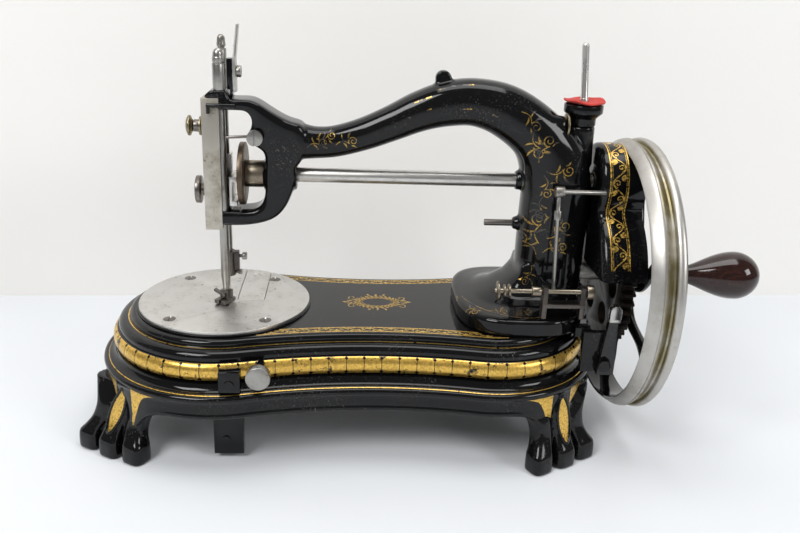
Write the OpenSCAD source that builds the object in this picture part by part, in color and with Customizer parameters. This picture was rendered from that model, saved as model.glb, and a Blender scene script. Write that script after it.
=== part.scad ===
// Hand-crank sewing machine: cast base on claw feet, gooseneck arm, handwheel with a turned grip.
// Millimetres. X runs along the bed to the handwheel, Y away from the operator, Z up from the floor.
// Working coordinates put the needle plate's centre at x = 0 and the shaft in the plane y = 0;
// place() then moves the whole part so that its origin is the centre of its box on the floor.

/* [Bed and plate] */
// Height of the needle plate's face over the floor
plate_height = 88; // [82:1:100]
// Diameter of the round needle plate
plate_dia = 114.3; // [108:0.1:120]
// Thickness of the needle plate
plate_thick = 2; // [1.5:0.1:2.6]
// How far the plate's face stands above the bed
plate_rise = 3; // [2.8:0.1:4]
// Width of bed left around the needle plate
bed_margin = 2.85; // [1.5:0.05:6]
// Distance between the centres of the bed's two round ends
lobe_gap = 180; // [174:1:190]
// Radius of the bed's right end
right_lobe_r = 54.5; // [51:0.5:56]
// Half width of the bed at its waist
waist_half = 47; // [40:0.5:49]
// Thickness of the bed's top
bed_thick = 5; // [4:0.5:6]
// Width of the rim under the bed's edge
bed_rim = 6; // [5:0.5:8]

/* [Mouldings and feet] */
// Height of the bed's own mouldings
bed_mould_h = 10.5; // [9:0.5:13]
// How far the bed's mouldings step out
bed_mould_out = 10.5; // [9:0.5:13]
// Height of the gilded half-round band
band_h = 13; // [10:0.5:15]
// How far the gilded band bulges out of the mouldings
band_bulge = 3.5; // [2:0.5:5]
// Height of the cove under the gilded band
cove_h = 8.5; // [7:0.5:10]
// How far the cove steps out to the skirt
cove_out = 11; // [8:0.5:12]
// Height of the plain skirt
skirt_h = 13; // [10:0.5:15]
// Wall thickness of the skirt
skirt_wall = 3.5; // [3:0.5:5]
// Angle that each foot turns away from the front or back
foot_turn = 30; // [20:1:40]
// Distance from one toe to the next
toe_pitch = 18.5; // [17.5:0.5:20]
// Radius of a toe
toe_r = 8.2; // [7:0.1:8.6]
// Height of a toe
toe_h = 15; // [12:0.5:18]

/* [Shaft and gears] */
// Height of the main shaft over the needle plate
shaft_rise = 88; // [84:1:92]
// Radius of the main shaft
shaft_r = 4.75; // [4:0.05:5.5]
// Gear module
gear_module = 2.117; // [2:0.001:2.13]
// Teeth on the pinion
pinion_teeth = 15; // [15:1:15]
// Teeth on the drive gear
gear_teeth = 45; // [45:1:45]
// Width of the gears
gear_w = 9; // [6:0.5:9.5]
// Radius of the crank disc in the head
disc_r = 20.3; // [17:0.1:21]
// Thickness of the crank disc
disc_t = 3.5; // [2.5:0.1:4]
// Radius from the shaft to the crank roller
crank_throw = 10.2; // [9:0.2:10.2]
// Running clearance of a shaft in its bearing
run_gap = 0.05; // [0.03:0.01:0.08]
// Clearance between pieces that move past each other
move_gap = 0.4; // [0.3:0.05:0.6]

/* [Handwheel] */
// Radius of the handwheel
wheel_r = 92.8; // [88:0.1:94]
// Width of the handwheel's rim
rim_w = 20.8; // [19:0.1:24]
// Thickness of the rim at its belt groove
rim_wall = 2.8; // [2:0.1:4]
// Radius of the stud that the handwheel turns on
stud_r = 6; // [5:0.1:7]
// Radius of the handwheel's hub
hub_r = 15; // [12:0.5:18]
// Number of curved spokes
spokes = 6; // [4:1:7]
// Radius at which the handle stands
handle_at = 73.3; // [68:0.1:75]
// Angle of the handle above the horizontal
handle_angle = 19.6; // [0:0.1:45]
// Length of the wooden grip
grip_len = 47.5; // [40:0.5:60]
// Largest diameter of the wooden grip
grip_dia = 29; // [24:0.5:32]
// Radius of the steel spindle in the grip
spindle_r = 3; // [2.5:0.1:3.5]

/* [Arm and head] */
// Distance from the needle plate's centre to the middle of the pillar
pillar_x = 220.5; // [218:0.5:224]
// Half width of the pillar along the bed
pillar_half = 22.5; // [21:0.5:24]
// Half depth of the pillar
pillar_depth = 20; // [18:0.5:22]
// Half depth of the head frame
head_depth = 12; // [11:0.5:13]
// Where the head frame meets the arm
neck_x = 50; // [50:0.5:52]
// Distance of the needle and presser bars from the plate's centre, to the right
bar_x = 1.8; // [1.5:0.1:2]
// Distance of each bar from the shaft's plane
bar_y = 6.75; // [6.5:0.05:7]
// Radius of the needle bar and of the presser bar
bar_r = 3.1; // [2.5:0.05:3.3]
// Thickness of the face plate's web
face_web = 7.6; // [5:0.1:8]
// Height of the face plate's lower edge over the needle plate
face_low = 52.8; // [50:0.2:54]
// Height of the face plate
face_h = 84.8; // [82:0.2:86]

/* [Fittings] */
// Radius of the spool cup
spool_cup_r = 12.6; // [10:0.1:14]
// Length of the spool pin that shows
spool_pin_len = 35; // [30:1:45]
// Radius of the spool pin
spool_pin_r = 2.3; // [1.8:0.1:3]
// Lean of the spool pin towards the head
spool_pin_lean = 5; // [0:1:7]
// Radius of the round stitch knob
knob_r = 7.5; // [6:0.1:8]
// Radius of the bobbin spindle
winder_r = 1.6; // [1.3:0.05:2]
// Distance of the bobbin spindle in front of the shaft
winder_y = 46; // [44:0.5:47]
// Height of the bobbin spindle over the needle plate
winder_rise = 27; // [25:0.5:29]

/* [Hidden] */
$fn = 48;

left_lobe_r = plate_dia / 2 + bed_margin;
bed_top = plate_height - plate_rise;
bed_under = bed_top - bed_mould_h;
band_under = bed_under - band_h;
skirt_top = band_under - cove_h;
skirt_low = skirt_top - skirt_h;
skirt_out = bed_mould_out + cove_out;
slab_under = bed_top - bed_thick;
shaft_z = plate_height + shaft_rise;
gear_gap = gear_module * (pinion_teeth + gear_teeth) / 2;
wheel_z = shaft_z - gear_gap;
// Level that the outlines of the head and the upper arm are drawn from: it moves with the shaft
drawn_rise = 88;
head_base = shaft_z - drawn_rise;
gear_outer = gear_module * gear_teeth / 2 + 0.9 * gear_module;
pinion_outer = gear_module * pinion_teeth / 2 + 0.9 * gear_module;
pillar_right = pillar_x + pillar_half;
cover_x = pillar_right + 1;
cover_wall = 2.4;
cover_web = 3;
gear_x = cover_x + 15;
hub_x = gear_x + gear_w;
rim_x = cover_x + 18.5;
rim_right = rim_x + rim_w;
spoke_x = rim_right - 9;
cover_right = spoke_x - 1;
rim_inner = wheel_r - 3.8 - rim_wall;
rim_gap = 0.8;
boss_right = rim_right + 2.2;
grip_x = boss_right + 1;
handle_y = -handle_at * cos(handle_angle);
handle_z = wheel_z + handle_at * sin(handle_angle);
right_end = grip_x + grip_len;

// Feet: the middle toe's centre, measured from the centre of the lobe that it stands under
left_foot = [-(left_lobe_r + 7), left_lobe_r - 5];
right_foot = [right_lobe_r - 7.7, right_lobe_r + 10.3];
toe_back = 1.5;
left_end = left_foot[0] - toe_pitch * cos(foot_turn) + toe_back * sin(foot_turn) - toe_r;
centre_x = (left_end + right_end) / 2;

bush_r = 7;
disc_x = bar_x + 10.7;
bush_x = disc_x + disc_t + 0.3;
frame_in = 29;
boss_x = 48.5;
face_x = bar_x - bar_r - 0.3;
face_flange = 1.5;
flange_x = face_x + 3.3;
head_top = head_base + 137;
cap_top = head_top + 5.3;
lever_x = 214;
lever_z = plate_height + 40;
bar_drop = 19;
shuttle_drop = 12;
rock_reach = lever_z - (plate_height - bar_drop);
boot_half = [43, 52];
boot_x = 200;
boot_top = plate_height + 9;
spool_x = 233.8;
spool_z = head_base + 131;
tension_z = head_base + 118.3;
guide_z = tension_z + 8.2;
face_nut_z = head_base + 76.6;

// ---- helpers ----

// Points of an elliptical arc, from angle a0 to a1 in n steps
function arc(cx, cy, rx, ry, a0, a1, n) =
    [for (i = [0:n]) let (a = a0 + (a1 - a0) * i / n) [cx + rx * cos(a), cy + ry * sin(a)]];

// Points of a superellipse with exponent e, n of them
function superellipse(rx, ry, e, n) =
    [for (i = [0:n - 1]) let (c = cos(360 * i / n), s = sin(360 * i / n))
        [rx * sign(c) * pow(abs(c), 2 / e), ry * sign(s) * pow(abs(s), 2 / e)]];

// Catmull-Rom value at t between the second and third of four values
function smooth(p0, p1, p2, p3, t) =
    0.5 * (2 * p1 + (p2 - p0) * t + (2 * p0 - 5 * p1 + 4 * p2 - p3) * t * t
        + (3 * p1 - p0 - 3 * p2 + p3) * t * t * t);

// A smooth run through a list of rows, k steps between each two
function smooth_rows(rows, k) = [
    for (i = [0:len(rows) - 2], j = [0:k - 1])
        smooth(rows[max(i - 1, 0)], rows[i], rows[i + 1], rows[min(i + 2, len(rows) - 1)], j / k),
    rows[len(rows) - 1]
];

// Triangles between neighbouring rings of n points; m rings, closed round on themselves if loop
function band_faces(n, m, loop) = [
    for (j = [0:(loop ? m - 1 : m - 2)], i = [0:n - 1])
        let (a = j * n + i, b = j * n + (i + 1) % n,
            c = ((j + 1) % m) * n + (i + 1) % n, d = ((j + 1) % m) * n + i)
        each [[a, d, c], [a, c, b]]
];

// A solid through a stack of rings, closed by its first and last ring
module skin(rings) {
    n = len(rings[0]);
    m = len(rings);
    caps = [[for (i = [0:n - 1]) i], [for (i = [n - 1:-1:0]) (m - 1) * n + i]];
    polyhedron(points = [for (r = rings) each r], faces = concat(band_faces(n, m, false), caps));
}

// Radius of the waist's arc, found by halving: both lobes and the waist line touch it
function waist_span(r) =
    sqrt((left_lobe_r - waist_half) * (left_lobe_r + waist_half + 2 * r))
    + sqrt((right_lobe_r - waist_half) * (right_lobe_r + waist_half + 2 * r));
function waist_radius(low, high, n) =
    n == 0 ? (low + high) / 2
    : waist_span((low + high) / 2) < lobe_gap
        ? waist_radius((low + high) / 2, high, n - 1)
        : waist_radius(low, (low + high) / 2, n - 1);
waist_r = waist_radius(5, 3000, 40);
waist_y = waist_half + waist_r;
waist_x = sqrt(pow(left_lobe_r + waist_r, 2) - pow(waist_y, 2));
left_turn = atan2(waist_y, waist_x);
right_turn = atan2(waist_y, waist_x - lobe_gap);

// The bed's outline, moved outwards by out: two round ends joined by hollow sides
function outline(out) = concat(
    arc(0, 0, left_lobe_r + out, left_lobe_r + out, left_turn, 360 - left_turn, 26),
    [for (p = arc(waist_x, -waist_y, waist_r - out, waist_r - out,
        180 - left_turn, 180 - right_turn, 8)) if (p[0] > 0) p],
    arc(lobe_gap, 0, right_lobe_r + out, right_lobe_r + out, -right_turn, right_turn, 26),
    [for (p = arc(waist_x, waist_y, waist_r - out, waist_r - out,
        180 + right_turn, 180 + left_turn, 8)) if (p[0] > 0) p]
);
function trim_ends(p, n) = [for (i = [0:len(p) - 1]) if (norm(p[i] - p[(i + 1) % n]) > 0.01) p[i]];
function outline_ring(out, z) =
    let (p = outline(out)) [for (q = trim_ends(p, len(p))) [q[0], q[1], z]];

module place() {
    translate([-centre_x, 0, 0]) children();
}

// A cylinder along X from x0 to x1
module rod_x(x0, x1, r, y = 0, z = 0) {
    translate([x0, y, z]) rotate([0, 90, 0]) cylinder(h = x1 - x0, r = r);
}

// A cylinder along Y from y0 to y1
module rod_y(y0, y1, r, x = 0, z = 0) {
    translate([x, y1, z]) rotate([90, 0, 0]) cylinder(h = y1 - y0, r = r);
}

// A cylinder along Z from z0 to z1
module rod_z(z0, z1, r, x = 0, y = 0) {
    translate([x, y, z0]) cylinder(h = z1 - z0, r = r);
}

// A profile of [along, radius] points turned about the X axis
module turned_x(profile, y = 0, z = 0) {
    translate([0, y, z]) rotate([0, 90, 0]) rotate_extrude() polygon([for (p = profile) [p[1], p[0]]]);
}

// A flat outline in X and Z, y0 to y1 thick
module slab_y(points, y0, y1) {
    translate([0, y1, 0]) rotate([90, 0, 0]) linear_extrude(y1 - y0) polygon(points);
}

module box(low, high) {
    translate(low) cube(high - low);
}

// ---- base and bed ----

base_profile = concat(
    [[bed_mould_out - 1, bed_under]],
    arc(bed_mould_out - 0.5, (bed_under + band_under) / 2, band_bulge + 0.5, band_h / 2 - 0.3,
        85, -85, 8),
    [[bed_mould_out + 1, band_under - 0.4], [bed_mould_out + 2.5, band_under - 0.9]],
    arc(bed_mould_out + cove_out - 3.5, band_under - 0.9, cove_out - 6.5, cove_h - 3.4, 200, 270, 3),
    arc(skirt_out - 2.2, skirt_top - 0.2, 2.2, 2.8, 80, -10, 3),
    [[skirt_out - 0.5, skirt_low]],
    [[skirt_out - skirt_wall - 0.5, skirt_low], [skirt_out - skirt_wall, skirt_top - 1]],
    [[bed_mould_out - 5, band_under - 1], [bed_mould_out - 6.5, bed_under]]
);

// One claw foot in its own frame: u to the side, v outwards, with its middle toe at the origin;
// its leg leans sideways by lean at the top
module claw_foot(lean) {
    rows = [
        [0, toe_pitch + 1, 3, 11, 0], [0.55 * toe_h, toe_pitch, 3, 11, 0],
        [1.15 * toe_h, 0.78 * toe_pitch, 0.5, 12.5, 0], [1.8 * toe_h, 0.68 * toe_pitch, -4.5, 15.5, 0.1],
        [skirt_low - 2, 0.75 * toe_pitch, -6, 19, 0.5], [skirt_low + 6, 0.9 * toe_pitch, -5, 22, 0.9],
        [skirt_top - 1, 1.05 * toe_pitch, -6.5, 23, 1]
    ];
    skin([for (r = smooth_rows(rows, 2))
        [for (p = superellipse(r[1], (r[2] + r[3]) / 2, 2.8, 16))
            [p[0] + lean * r[4], p[1] + (r[2] - r[3]) / 2, r[0]]]]);
    for (side = [-1, 0, 1])
        translate([side * toe_pitch, -abs(side) * toe_back, 0])
            rotate_extrude($fn = 16)
                polygon(concat([[0, 0], [toe_r - 0.8, 0], [toe_r, 1.2]],
                    arc(0, toe_h - 6, toe_r, 6, 0, 90, 3)));
}

// The four feet: two under each lobe, the back ones mirrored
module feet() {
    for (front = [1, -1]) {
        scale_y = -front;
        translate([left_foot[0], scale_y * left_foot[1], 0])
            rotate([0, 0, front == 1 ? 180 - foot_turn : foot_turn]) claw_foot(-8 * front);
        translate([lobe_gap + right_foot[0], scale_y * right_foot[1], 0])
            rotate([0, 0, front == 1 ? 180 + foot_turn : -foot_turn]) claw_foot(0);
    }
}

module base_casting() {
    rings = [for (i = [len(base_profile) - 1:-1:0]) outline_ring(base_profile[i][0], base_profile[i][1])];
    color("#101010") place() difference() {
        union() {
            polyhedron(points = [for (r = rings) each r],
                faces = band_faces(len(rings[0]), len(rings), true));
            feet();
        }
        front_roots(seat_gap);
    }
}

// What the lug and the knob's boss reach into the base with, grown by gap all round
module front_roots(gap) {
    box([lug_x[0] - gap, -lug_y - 5, lug_z[0] - gap], [lug_x[1] + gap, lug_root + gap, lug_z[1] + gap]);
    rod_y(-lug_y - 5, boss_root + gap, boss_r + gap, knob_at[0], knob_at[1]);
}

lug_x = [6, 19];
lug_y = 80;
lug_z = [plate_height - 29.5, plate_height - 16];
lug_root = -left_lobe_r - 9.5;
boss_root = -left_lobe_r - 5;
knob_at = [30.6, plate_height - 17];
boss_r = 3.3;
knob_shank_r = 2.5;
seat_gap = 0.15;

bed_profile = concat(
    [[0, bed_top]],
    arc(0, bed_top - 3, 3, 3, 60, 0, 2),
    [[3, bed_top - 4.3], [bed_mould_out - 4.5, bed_top - 4.6]],
    arc(bed_mould_out - 4.5, bed_top - 9.1, 4.5, 4.5, 60, 0, 2),
    [[bed_mould_out, bed_under]]
);

// Openings through the bed: the shuttle race, the feed slot and the lever slot
race_box = [[-28, 2], [52, 30]];
feed_half = [4, 6.5];
feed_at = [bar_x - 2, -8];
feed_throw = 2;
feed_tail = 4.2;
lever_slot = [lever_x - 12.7, lever_x + 12.7];
bed_slot = [lever_slot[0] - 3, lever_slot[1] + 3];

module bed() {
    color("#17171a") place() difference() {
        union() {
            skin([for (i = [len(bed_profile) - 1:-1:0]) outline_ring(bed_profile[i][0], bed_profile[i][1])]);
            rod_z(bed_top - 1, plate_height - plate_thick, plate_dia / 2 + 1);
        }
        translate([0, 0, bed_under - 1]) linear_extrude(slab_under - bed_under + 1)
            polygon(outline(-bed_rim));
        box([race_box[0][0], race_box[0][1], slab_under - 1],
            [race_box[1][0], race_box[1][1], plate_height]);
        box([feed_at[0] - feed_half[0] - 1, feed_at[1] - feed_half[1] - 1, slab_under - 1],
            [feed_at[0] + feed_half[0] + 1, feed_at[1] + feed_half[1] + 1, plate_height]);
        box([bed_slot[0], -5.6, bed_under - 1], [bed_slot[1], 5.6, plate_height]);
    }
}

// Screws of the needle plate, near its rim
plate_screw_at = [for (a = [50, 130, 230, 310]) 0.83 * plate_dia / 2 * [cos(a), sin(a)]];
slide_x = [8.6, 26.4];
slide_y = -2;

module slide_shape(gap) {
    intersection() {
        box([slide_x[0] - gap, slide_y - gap, plate_height - plate_thick],
            [slide_x[1] + gap, plate_dia, plate_height]);
        rod_z(plate_height - plate_thick - 1, plate_height + 1, plate_dia / 2);
    }
}

module needle_plate() {
    color("#b9b8b4") place() difference() {
        rod_z(plate_height - plate_thick, plate_height, plate_dia / 2, $fn = 120);
        box([slide_x[0] - move_gap, slide_y - move_gap, 0],
            [slide_x[1] + move_gap, plate_dia, plate_height + 1]);
        rod_z(0, plate_height + 1, 1.6, bar_x, bar_y);
        box([feed_at[0] - feed_half[0], feed_at[1] - feed_half[1], 0],
            [feed_at[0] + feed_half[0], feed_at[1] + feed_half[1], plate_height + 1]);
        for (p = plate_screw_at) translate([p[0], p[1], plate_height - plate_thick - 0.1])
            cylinder(h = plate_thick + 0.2, r1 = 1.9, r2 = 4.3);
    }
}

module plate_screws() {
    color("#9a9a97") place() for (p = plate_screw_at) difference() {
        translate([p[0], p[1], plate_height - plate_thick + 0.1])
            cylinder(h = plate_thick - 0.1, r1 = 1.7, r2 = 4.05);
        translate([p[0], p[1], plate_height]) rotate([0, 0, p[0] * 3])
            cube([10, 0.9, 1.4], center = true);
    }
}

module slide_cover() {
    color("#c2c1bd") place() difference() {
        slide_shape(0);
        rod_z(plate_height - 0.8, plate_height + 1, 3, (slide_x[0] + slide_x[1]) / 2, 0.76 * plate_dia / 2);
    }
}

// ---- arm and head ----

// Arm stations from the neck to the pillar's foot: x, height over the plate, half height, half depth
arm_shape = [
    [neck_x, 110.3, 12, head_depth - 1], [60, 109.7, 10.3, 10.5], [74, 110.8, 10, 10],
    [92, 116, 10.4, 10.5], [110, 123.5, 11.3, 11.5], [128, 131.8, 12.8, 13],
    [146, 137.2, 14.4, 14], [164, 138.4, 15.2, 15], [184, 133, 17, 16.5],
    [pillar_x - 16.5, 119.5, 18.5, pillar_depth - 2], [pillar_x - 4.6, 103, pillar_half - 0.6, pillar_depth - 1],
    [pillar_x + 0.4, 84, pillar_half + 0.7, pillar_depth], [pillar_x + 0.4, 60, pillar_half + 0.7, pillar_depth],
    [pillar_x + 0.4, 36, pillar_half + 0.7, pillar_depth], [pillar_x + 0.4, 5, pillar_half + 0.7, pillar_depth]
];
arm_rows = [for (r = arm_shape) [r[0], r[1] + (r[1] > 50 ? head_base - plate_height : 0), r[2], r[3]]];

// Unit direction of the arm's path at station i
function arm_way(rows, i) =
    let (a = rows[max(i - 1, 0)], b = rows[min(i + 1, len(rows) - 1)], d = [b[0] - a[0], b[1] - a[1]])
    i == 0 ? [1, 0] : d / norm(d);

function arm_ring(rows, i) =
    let (r = rows[i], w = arm_way(rows, i))
    [for (p = superellipse(r[2], r[3], 2.4, 24))
        [r[0] - w[1] * p[0], -p[1], plate_height + r[1] + w[0] * p[0]]];

// Boot levels over the plate: height, left reach from the boot's middle, half depth, right reach, power
boot_rows = [
    [-plate_rise, boot_half[0], boot_half[1], 43, 3], [6, boot_half[0], boot_half[1], 43, 3],
    [8.3, boot_half[0] - 1.5, boot_half[1] - 1.5, 42.5, 3], [9, 39, 46, 40, 3],
    [9.8, 34, 36, 42, 2.8], [14, 21, 26, 43.5, 2.6], [20, 9, 21, 44, 2.5], [27, 0, 18, 44, 2.4]
];

function boot_ring(r) = [for (p = superellipse(1, r[2], r[4], 40))
    [boot_x + p[0] * (p[0] < 0 ? r[1] : r[3]), p[1], plate_height + r[0]]];

module arm() {
    rows = smooth_rows(arm_rows, 3);
    color("#101013") place() difference() {
        union() {
            skin([for (i = [0:len(rows) - 1]) arm_ring(rows, i)]);
            skin([for (r = boot_rows) boot_ring(r)]);
            translate([141.5, 0, head_base + 153]) rotate([90, 0, 0]) cylinder(h = 7, r = 5.2, center = true);
            rod_x(pillar_x - 14, lever_x + 6.6, 7, -8, guide_z);
            rod_z(head_base + 106, spool_z - 5, 8.6, spool_x);
        }
        rod_y(-9, 9, 1.4, 141.5, head_base + 155);
        rod_x(neck_x + 60, 300, bush_r + 0.2, 0, shaft_z);
        rod_x(pillar_right - 10, 300, stud_r + 0.2, 0, wheel_z);
        box([lever_x - 9, -12.5, shaft_z - 13], [lever_x + 9, 12.5, shaft_z + 12.5]);
        box([lever_slot[0], -5.5, 0], [lever_slot[1], 5.5, shaft_z - 11]);
        rod_y(-12.2, 12.2, 2.7, lever_x, lever_z);
        box([226, -80, 0], [300, 80, plate_height + 2.5]);
        box([pillar_right, -80, 0], [pillar_right + 60, 80, spool_z + 40]);
        rod_x(150, pillar_x - pillar_half + 8, 2.4, 0, plate_height + 58.4);
        rod_z(spool_z - 20, spool_z + 1, 3.2, spool_x);
        rod_x(lever_x - 4, lever_x + 11, 2, -8, guide_z);
        rod_x(lever_x + 6.5, lever_x + 11, 8.8, -8, guide_z);
    }
}

head_in_low = 65.2;
head_in_top = 130.2;
head_out_low = 55.3;

// Side outline of the head frame, heights over the plate
head_outer = concat(
    [[face_x + 0.2, head_out_low], [10, head_out_low], [20.5, 56], [30.5, 58.5], [37.5, 62.5], [42.5, 68.5],
    [45.8, 76], [boss_x, 80], [boss_x, 95.5], [neck_x, 98.5], [neck_x, 122.1]],
    [[45, 123.8], [38.5, 127], [32, 130.7], [26, 134.5], [20, 137], [face_x + 0.2, 137]]
);
head_inner = concat(
    [[face_x - 5, head_in_low], [20, head_in_low]],
    arc(frame_in - 8, head_in_low + 8, 8, 8, -80, 0, 5),
    arc(frame_in - 4, 101, 4, 4, 0, 70, 4),
    [[21, 108.5], [17, 111], [16, 114], [19, 119], [20.5, 124], [19, 128.5], [15, head_in_top],
    [face_x - 5, head_in_top]]
);

module raise_plate() {
    translate([0, 0, plate_height]) children();
}

module raise_head() {
    translate([0, 0, head_base]) children();
}

module head_frame() {
    color("#101013") place() difference() {
        union() {
            raise_head() difference() {
                slab_y(head_outer, -head_depth, head_depth);
                slab_y(head_inner, -head_depth - 1, head_depth + 1);
            }
            raise_head() slab_y([[face_x - face_web + 1, face_low + face_h], [face_x + 0.2, face_low + face_h],
                [face_x + 0.2, 136], [8, 136], [7.6, 138], [6, 142.3], [-3.5, 142.3], [-7.4, 138.6]],
                -head_depth + 0.5, head_depth - 0.5);
        }
        for (side = [-1, 1]) {
            rod_z(head_base + 40, head_base + 150, bar_r + run_gap, bar_x, side * bar_y);
            raise_head() box([face_x - 1, min(side * (head_depth - face_flange - 0.3), side * 20), 50],
                [flange_x + 0.3, max(side * (head_depth - face_flange - 0.3), side * 20), face_low + face_h]);
        }
        rod_x(frame_in - 10, neck_x + 1, bush_r, 0, shaft_z);
    }
}

module face_plate() {
    color("#a9a294") place() difference() {
        raise_head() box([face_x - face_web, -head_depth, face_low],
            [flange_x, head_depth, face_low + face_h]);
        raise_head() box([face_x, -head_depth + face_flange, face_low - 1],
            [flange_x + 1, head_depth - face_flange, face_low + face_h + 1]);
        rod_x(face_x - face_web - 1, face_x + 1, 2.1, 0, tension_z);
        rod_x(face_x - face_web - 1, face_x + 1, 2.1, 0, face_nut_z);
    }
}

// ---- gear cover, shaft and gears ----

// Outline of the cover seen along the shaft: two round lobes joined by hollow fillets
function lobes_outline(grow) =
    let (r1 = pinion_outer + 6.4 + grow, r2 = gear_outer + 1.3 + grow, rf = 9 - grow,
        d1 = r1 + rf, d2 = r2 + rf, zf = (gear_gap * gear_gap + d2 * d2 - d1 * d1) / (2 * gear_gap),
        yf = sqrt(d2 * d2 - zf * zf), a2 = atan2(zf, yf), a1 = atan2(zf - gear_gap, yf))
    concat(arc(0, wheel_z, r2, r2, 180 - a2, 360 + a2, 48),
        arc(yf, wheel_z + zf, rf, rf, a2 + 180, a1 + 180, 8),
        arc(0, shaft_z, r1, r1, a1, 180 - a1, 36),
        arc(-yf, wheel_z + zf, rf, rf, -a1, -a2, 8));

function lobes_ring(x, grow) =
    let (p = lobes_outline(grow)) [for (q = trim_ends(p, len(p))) [x, q[0], q[1]]];

guide_at = [-28, shaft_z];

// The room that the cover has: left of the wheel's rim, and inside it, less inset all round
module rim_room(inset) {
    rod_x(cover_x - 9, rim_x - rim_gap - inset, 2 * wheel_r, 0, wheel_z);
    rod_x(cover_x - 9, cover_right + 2, rim_inner - rim_gap - inset, 0, wheel_z);
}

module gear_cover() {
    round_r = 4.5;
    color("#101013") place() difference() {
        union() {
            intersection() {
                skin(concat(
                    [for (p = arc(round_r, -round_r, round_r, round_r, 180, 90, 4))
                        lobes_ring(cover_x + p[0], cover_wall + p[1])],
                    [lobes_ring(cover_right, cover_wall)]));
                rim_room(0);
            }
            rod_x(cover_x - 4.5, cover_x + cover_web, 4.2, guide_at[0], guide_at[1]);
        }
        intersection() {
            skin([for (row = [[cover_web, -3], [cover_web + 3, 0], [cover_right + 1 - cover_x, 0]])
                lobes_ring(cover_x + row[0], row[1])]);
            rim_room(cover_wall);
        }
        box([cover_x - 9, -100, 0], [cover_right + 1, 100, wheel_z + 11.3]);
        rod_x(cover_x + cover_web, cover_right + 1, pinion_outer + 1.5, 0, shaft_z);
        rod_x(cover_x - 9, cover_x + 9, shaft_r + 4, 0, shaft_z);
        rod_x(cover_x - 9, cover_x + cover_web - 0.1, winder_r + run_gap, guide_at[0], guide_at[1]);
    }
}

module front_bush() {
    color("#8a8068") place() difference() {
        union() {
            rod_x(bush_x, frame_in - 1.2, 8.75, 0, shaft_z);
            rod_x(frame_in - 2, boss_x, bush_r - 0.05, 0, shaft_z);
        }
        rod_x(bush_x - 1, boss_x + 1, shaft_r + run_gap, 0, shaft_z);
    }
}

module rear_bushes() {
    color("#b08d3c") place() for (span = [[lever_x - 17, lever_x - 9.2], [lever_x + 9.2, pillar_right]])
        difference() {
            rod_x(span[0], span[1], bush_r, 0, shaft_z);
            rod_x(span[0] - 1, span[1] + 1, shaft_r + run_gap, 0, shaft_z);
        }
}

module main_shaft() {
    color("#c8c8c6") place() rod_x(disc_x, gear_x + gear_w + 2, shaft_r, 0, shaft_z);
}

module crank_disc() {
    color("#6f5a3c") place() difference() {
        union() {
            rod_x(disc_x, disc_x + disc_t, disc_r, 0, shaft_z);
            rod_x(disc_x - 1.2, disc_x + 0.1, 3, 0, shaft_z - crank_throw);
        }
        rod_x(disc_x - 5, disc_x + disc_t + 1, shaft_r, 0, shaft_z);
    }
}

module barrel_cam() {
    color("#8f8f8c") place() difference() {
        rod_x(lever_x - 7.5, lever_x + 7.5, 10.5, 0, shaft_z);
        rod_x(lever_x - 9, lever_x + 9, shaft_r, 0, shaft_z);
        difference() {
            rod_x(lever_x - 2.6, lever_x + 2.6, 12, 0, shaft_z);
            rod_x(lever_x - 3, lever_x + 3, 8, 0, shaft_z);
        }
    }
}

// Outline of a spur gear: each tooth narrows from root to tip along the involute's slope
function gear_outline(teeth, shift) =
    let (pitch_r = gear_module * teeth / 2, step = 360 / teeth,
        flank = [[-1.15, 0.33], [-0.4, 0.285], [0, 0.232], [0.5, 0.165], [0.9, 0.1]])
    [for (i = [0:teeth - 1], k = [0:9])
        let (row = k < 5 ? flank[k] : flank[9 - k], side = k < 5 ? -1 : 1,
            a = shift + step * (i + side * row[1]), r = pitch_r + gear_module * row[0])
        r * [cos(a), sin(a)]];

module gear(teeth, shift, z, bore) {
    translate([gear_x, 0, z]) rotate([90, 0, 90]) linear_extrude(gear_w) difference() {
        polygon(gear_outline(teeth, shift));
        circle(r = bore);
    }
}

module pinion() {
    color("#7c7c7a") place() gear(pinion_teeth, -90 + 180 / pinion_teeth, shaft_z, shaft_r);
}

module drive_gear() {
    color("#4f3a30") place() difference() {
        gear(gear_teeth, 90, wheel_z, stud_r + run_gap);
        for (a = [0:60:300]) rod_x(gear_x - 1, gear_x + gear_w + 1, 8, 29 * cos(a), wheel_z + 29 * sin(a));
    }
}

// ---- handwheel ----

rim_profile = concat(
    [[rim_x, rim_inner], [rim_x, wheel_r - 5.2], [rim_x + 1.2, wheel_r - 4.2], [rim_x + 3, wheel_r - 3],
    [rim_x + 5, wheel_r - 1.9]],
    arc(rim_x + 8.2, wheel_r - 2, 2.2, 1.6, 130, 20, 4),
    [[rim_x + 11.4, wheel_r - 2.9], [rim_x + 12.8, wheel_r - 3.8]],
    arc(rim_right - 3.2, wheel_r - 2.4, 3.2, 2.4, 200, 0, 8),
    [[rim_right, wheel_r - 4.4], [rim_right - 0.6, rim_inner]]
);

// A spoke that sweeps in a shallow S from the hub to the rim, wider at both ends
function spoke_point(t, side) =
    let (r = hub_r - 2 + (rim_inner + 2.2 - hub_r + 2) * t, bend = 13 * sin(360 * t) * (1 - 0.3 * t),
        half = 4 + 5 * pow(2 * t - 1, 2))
    [r, bend * 0.6 + side * half];

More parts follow.
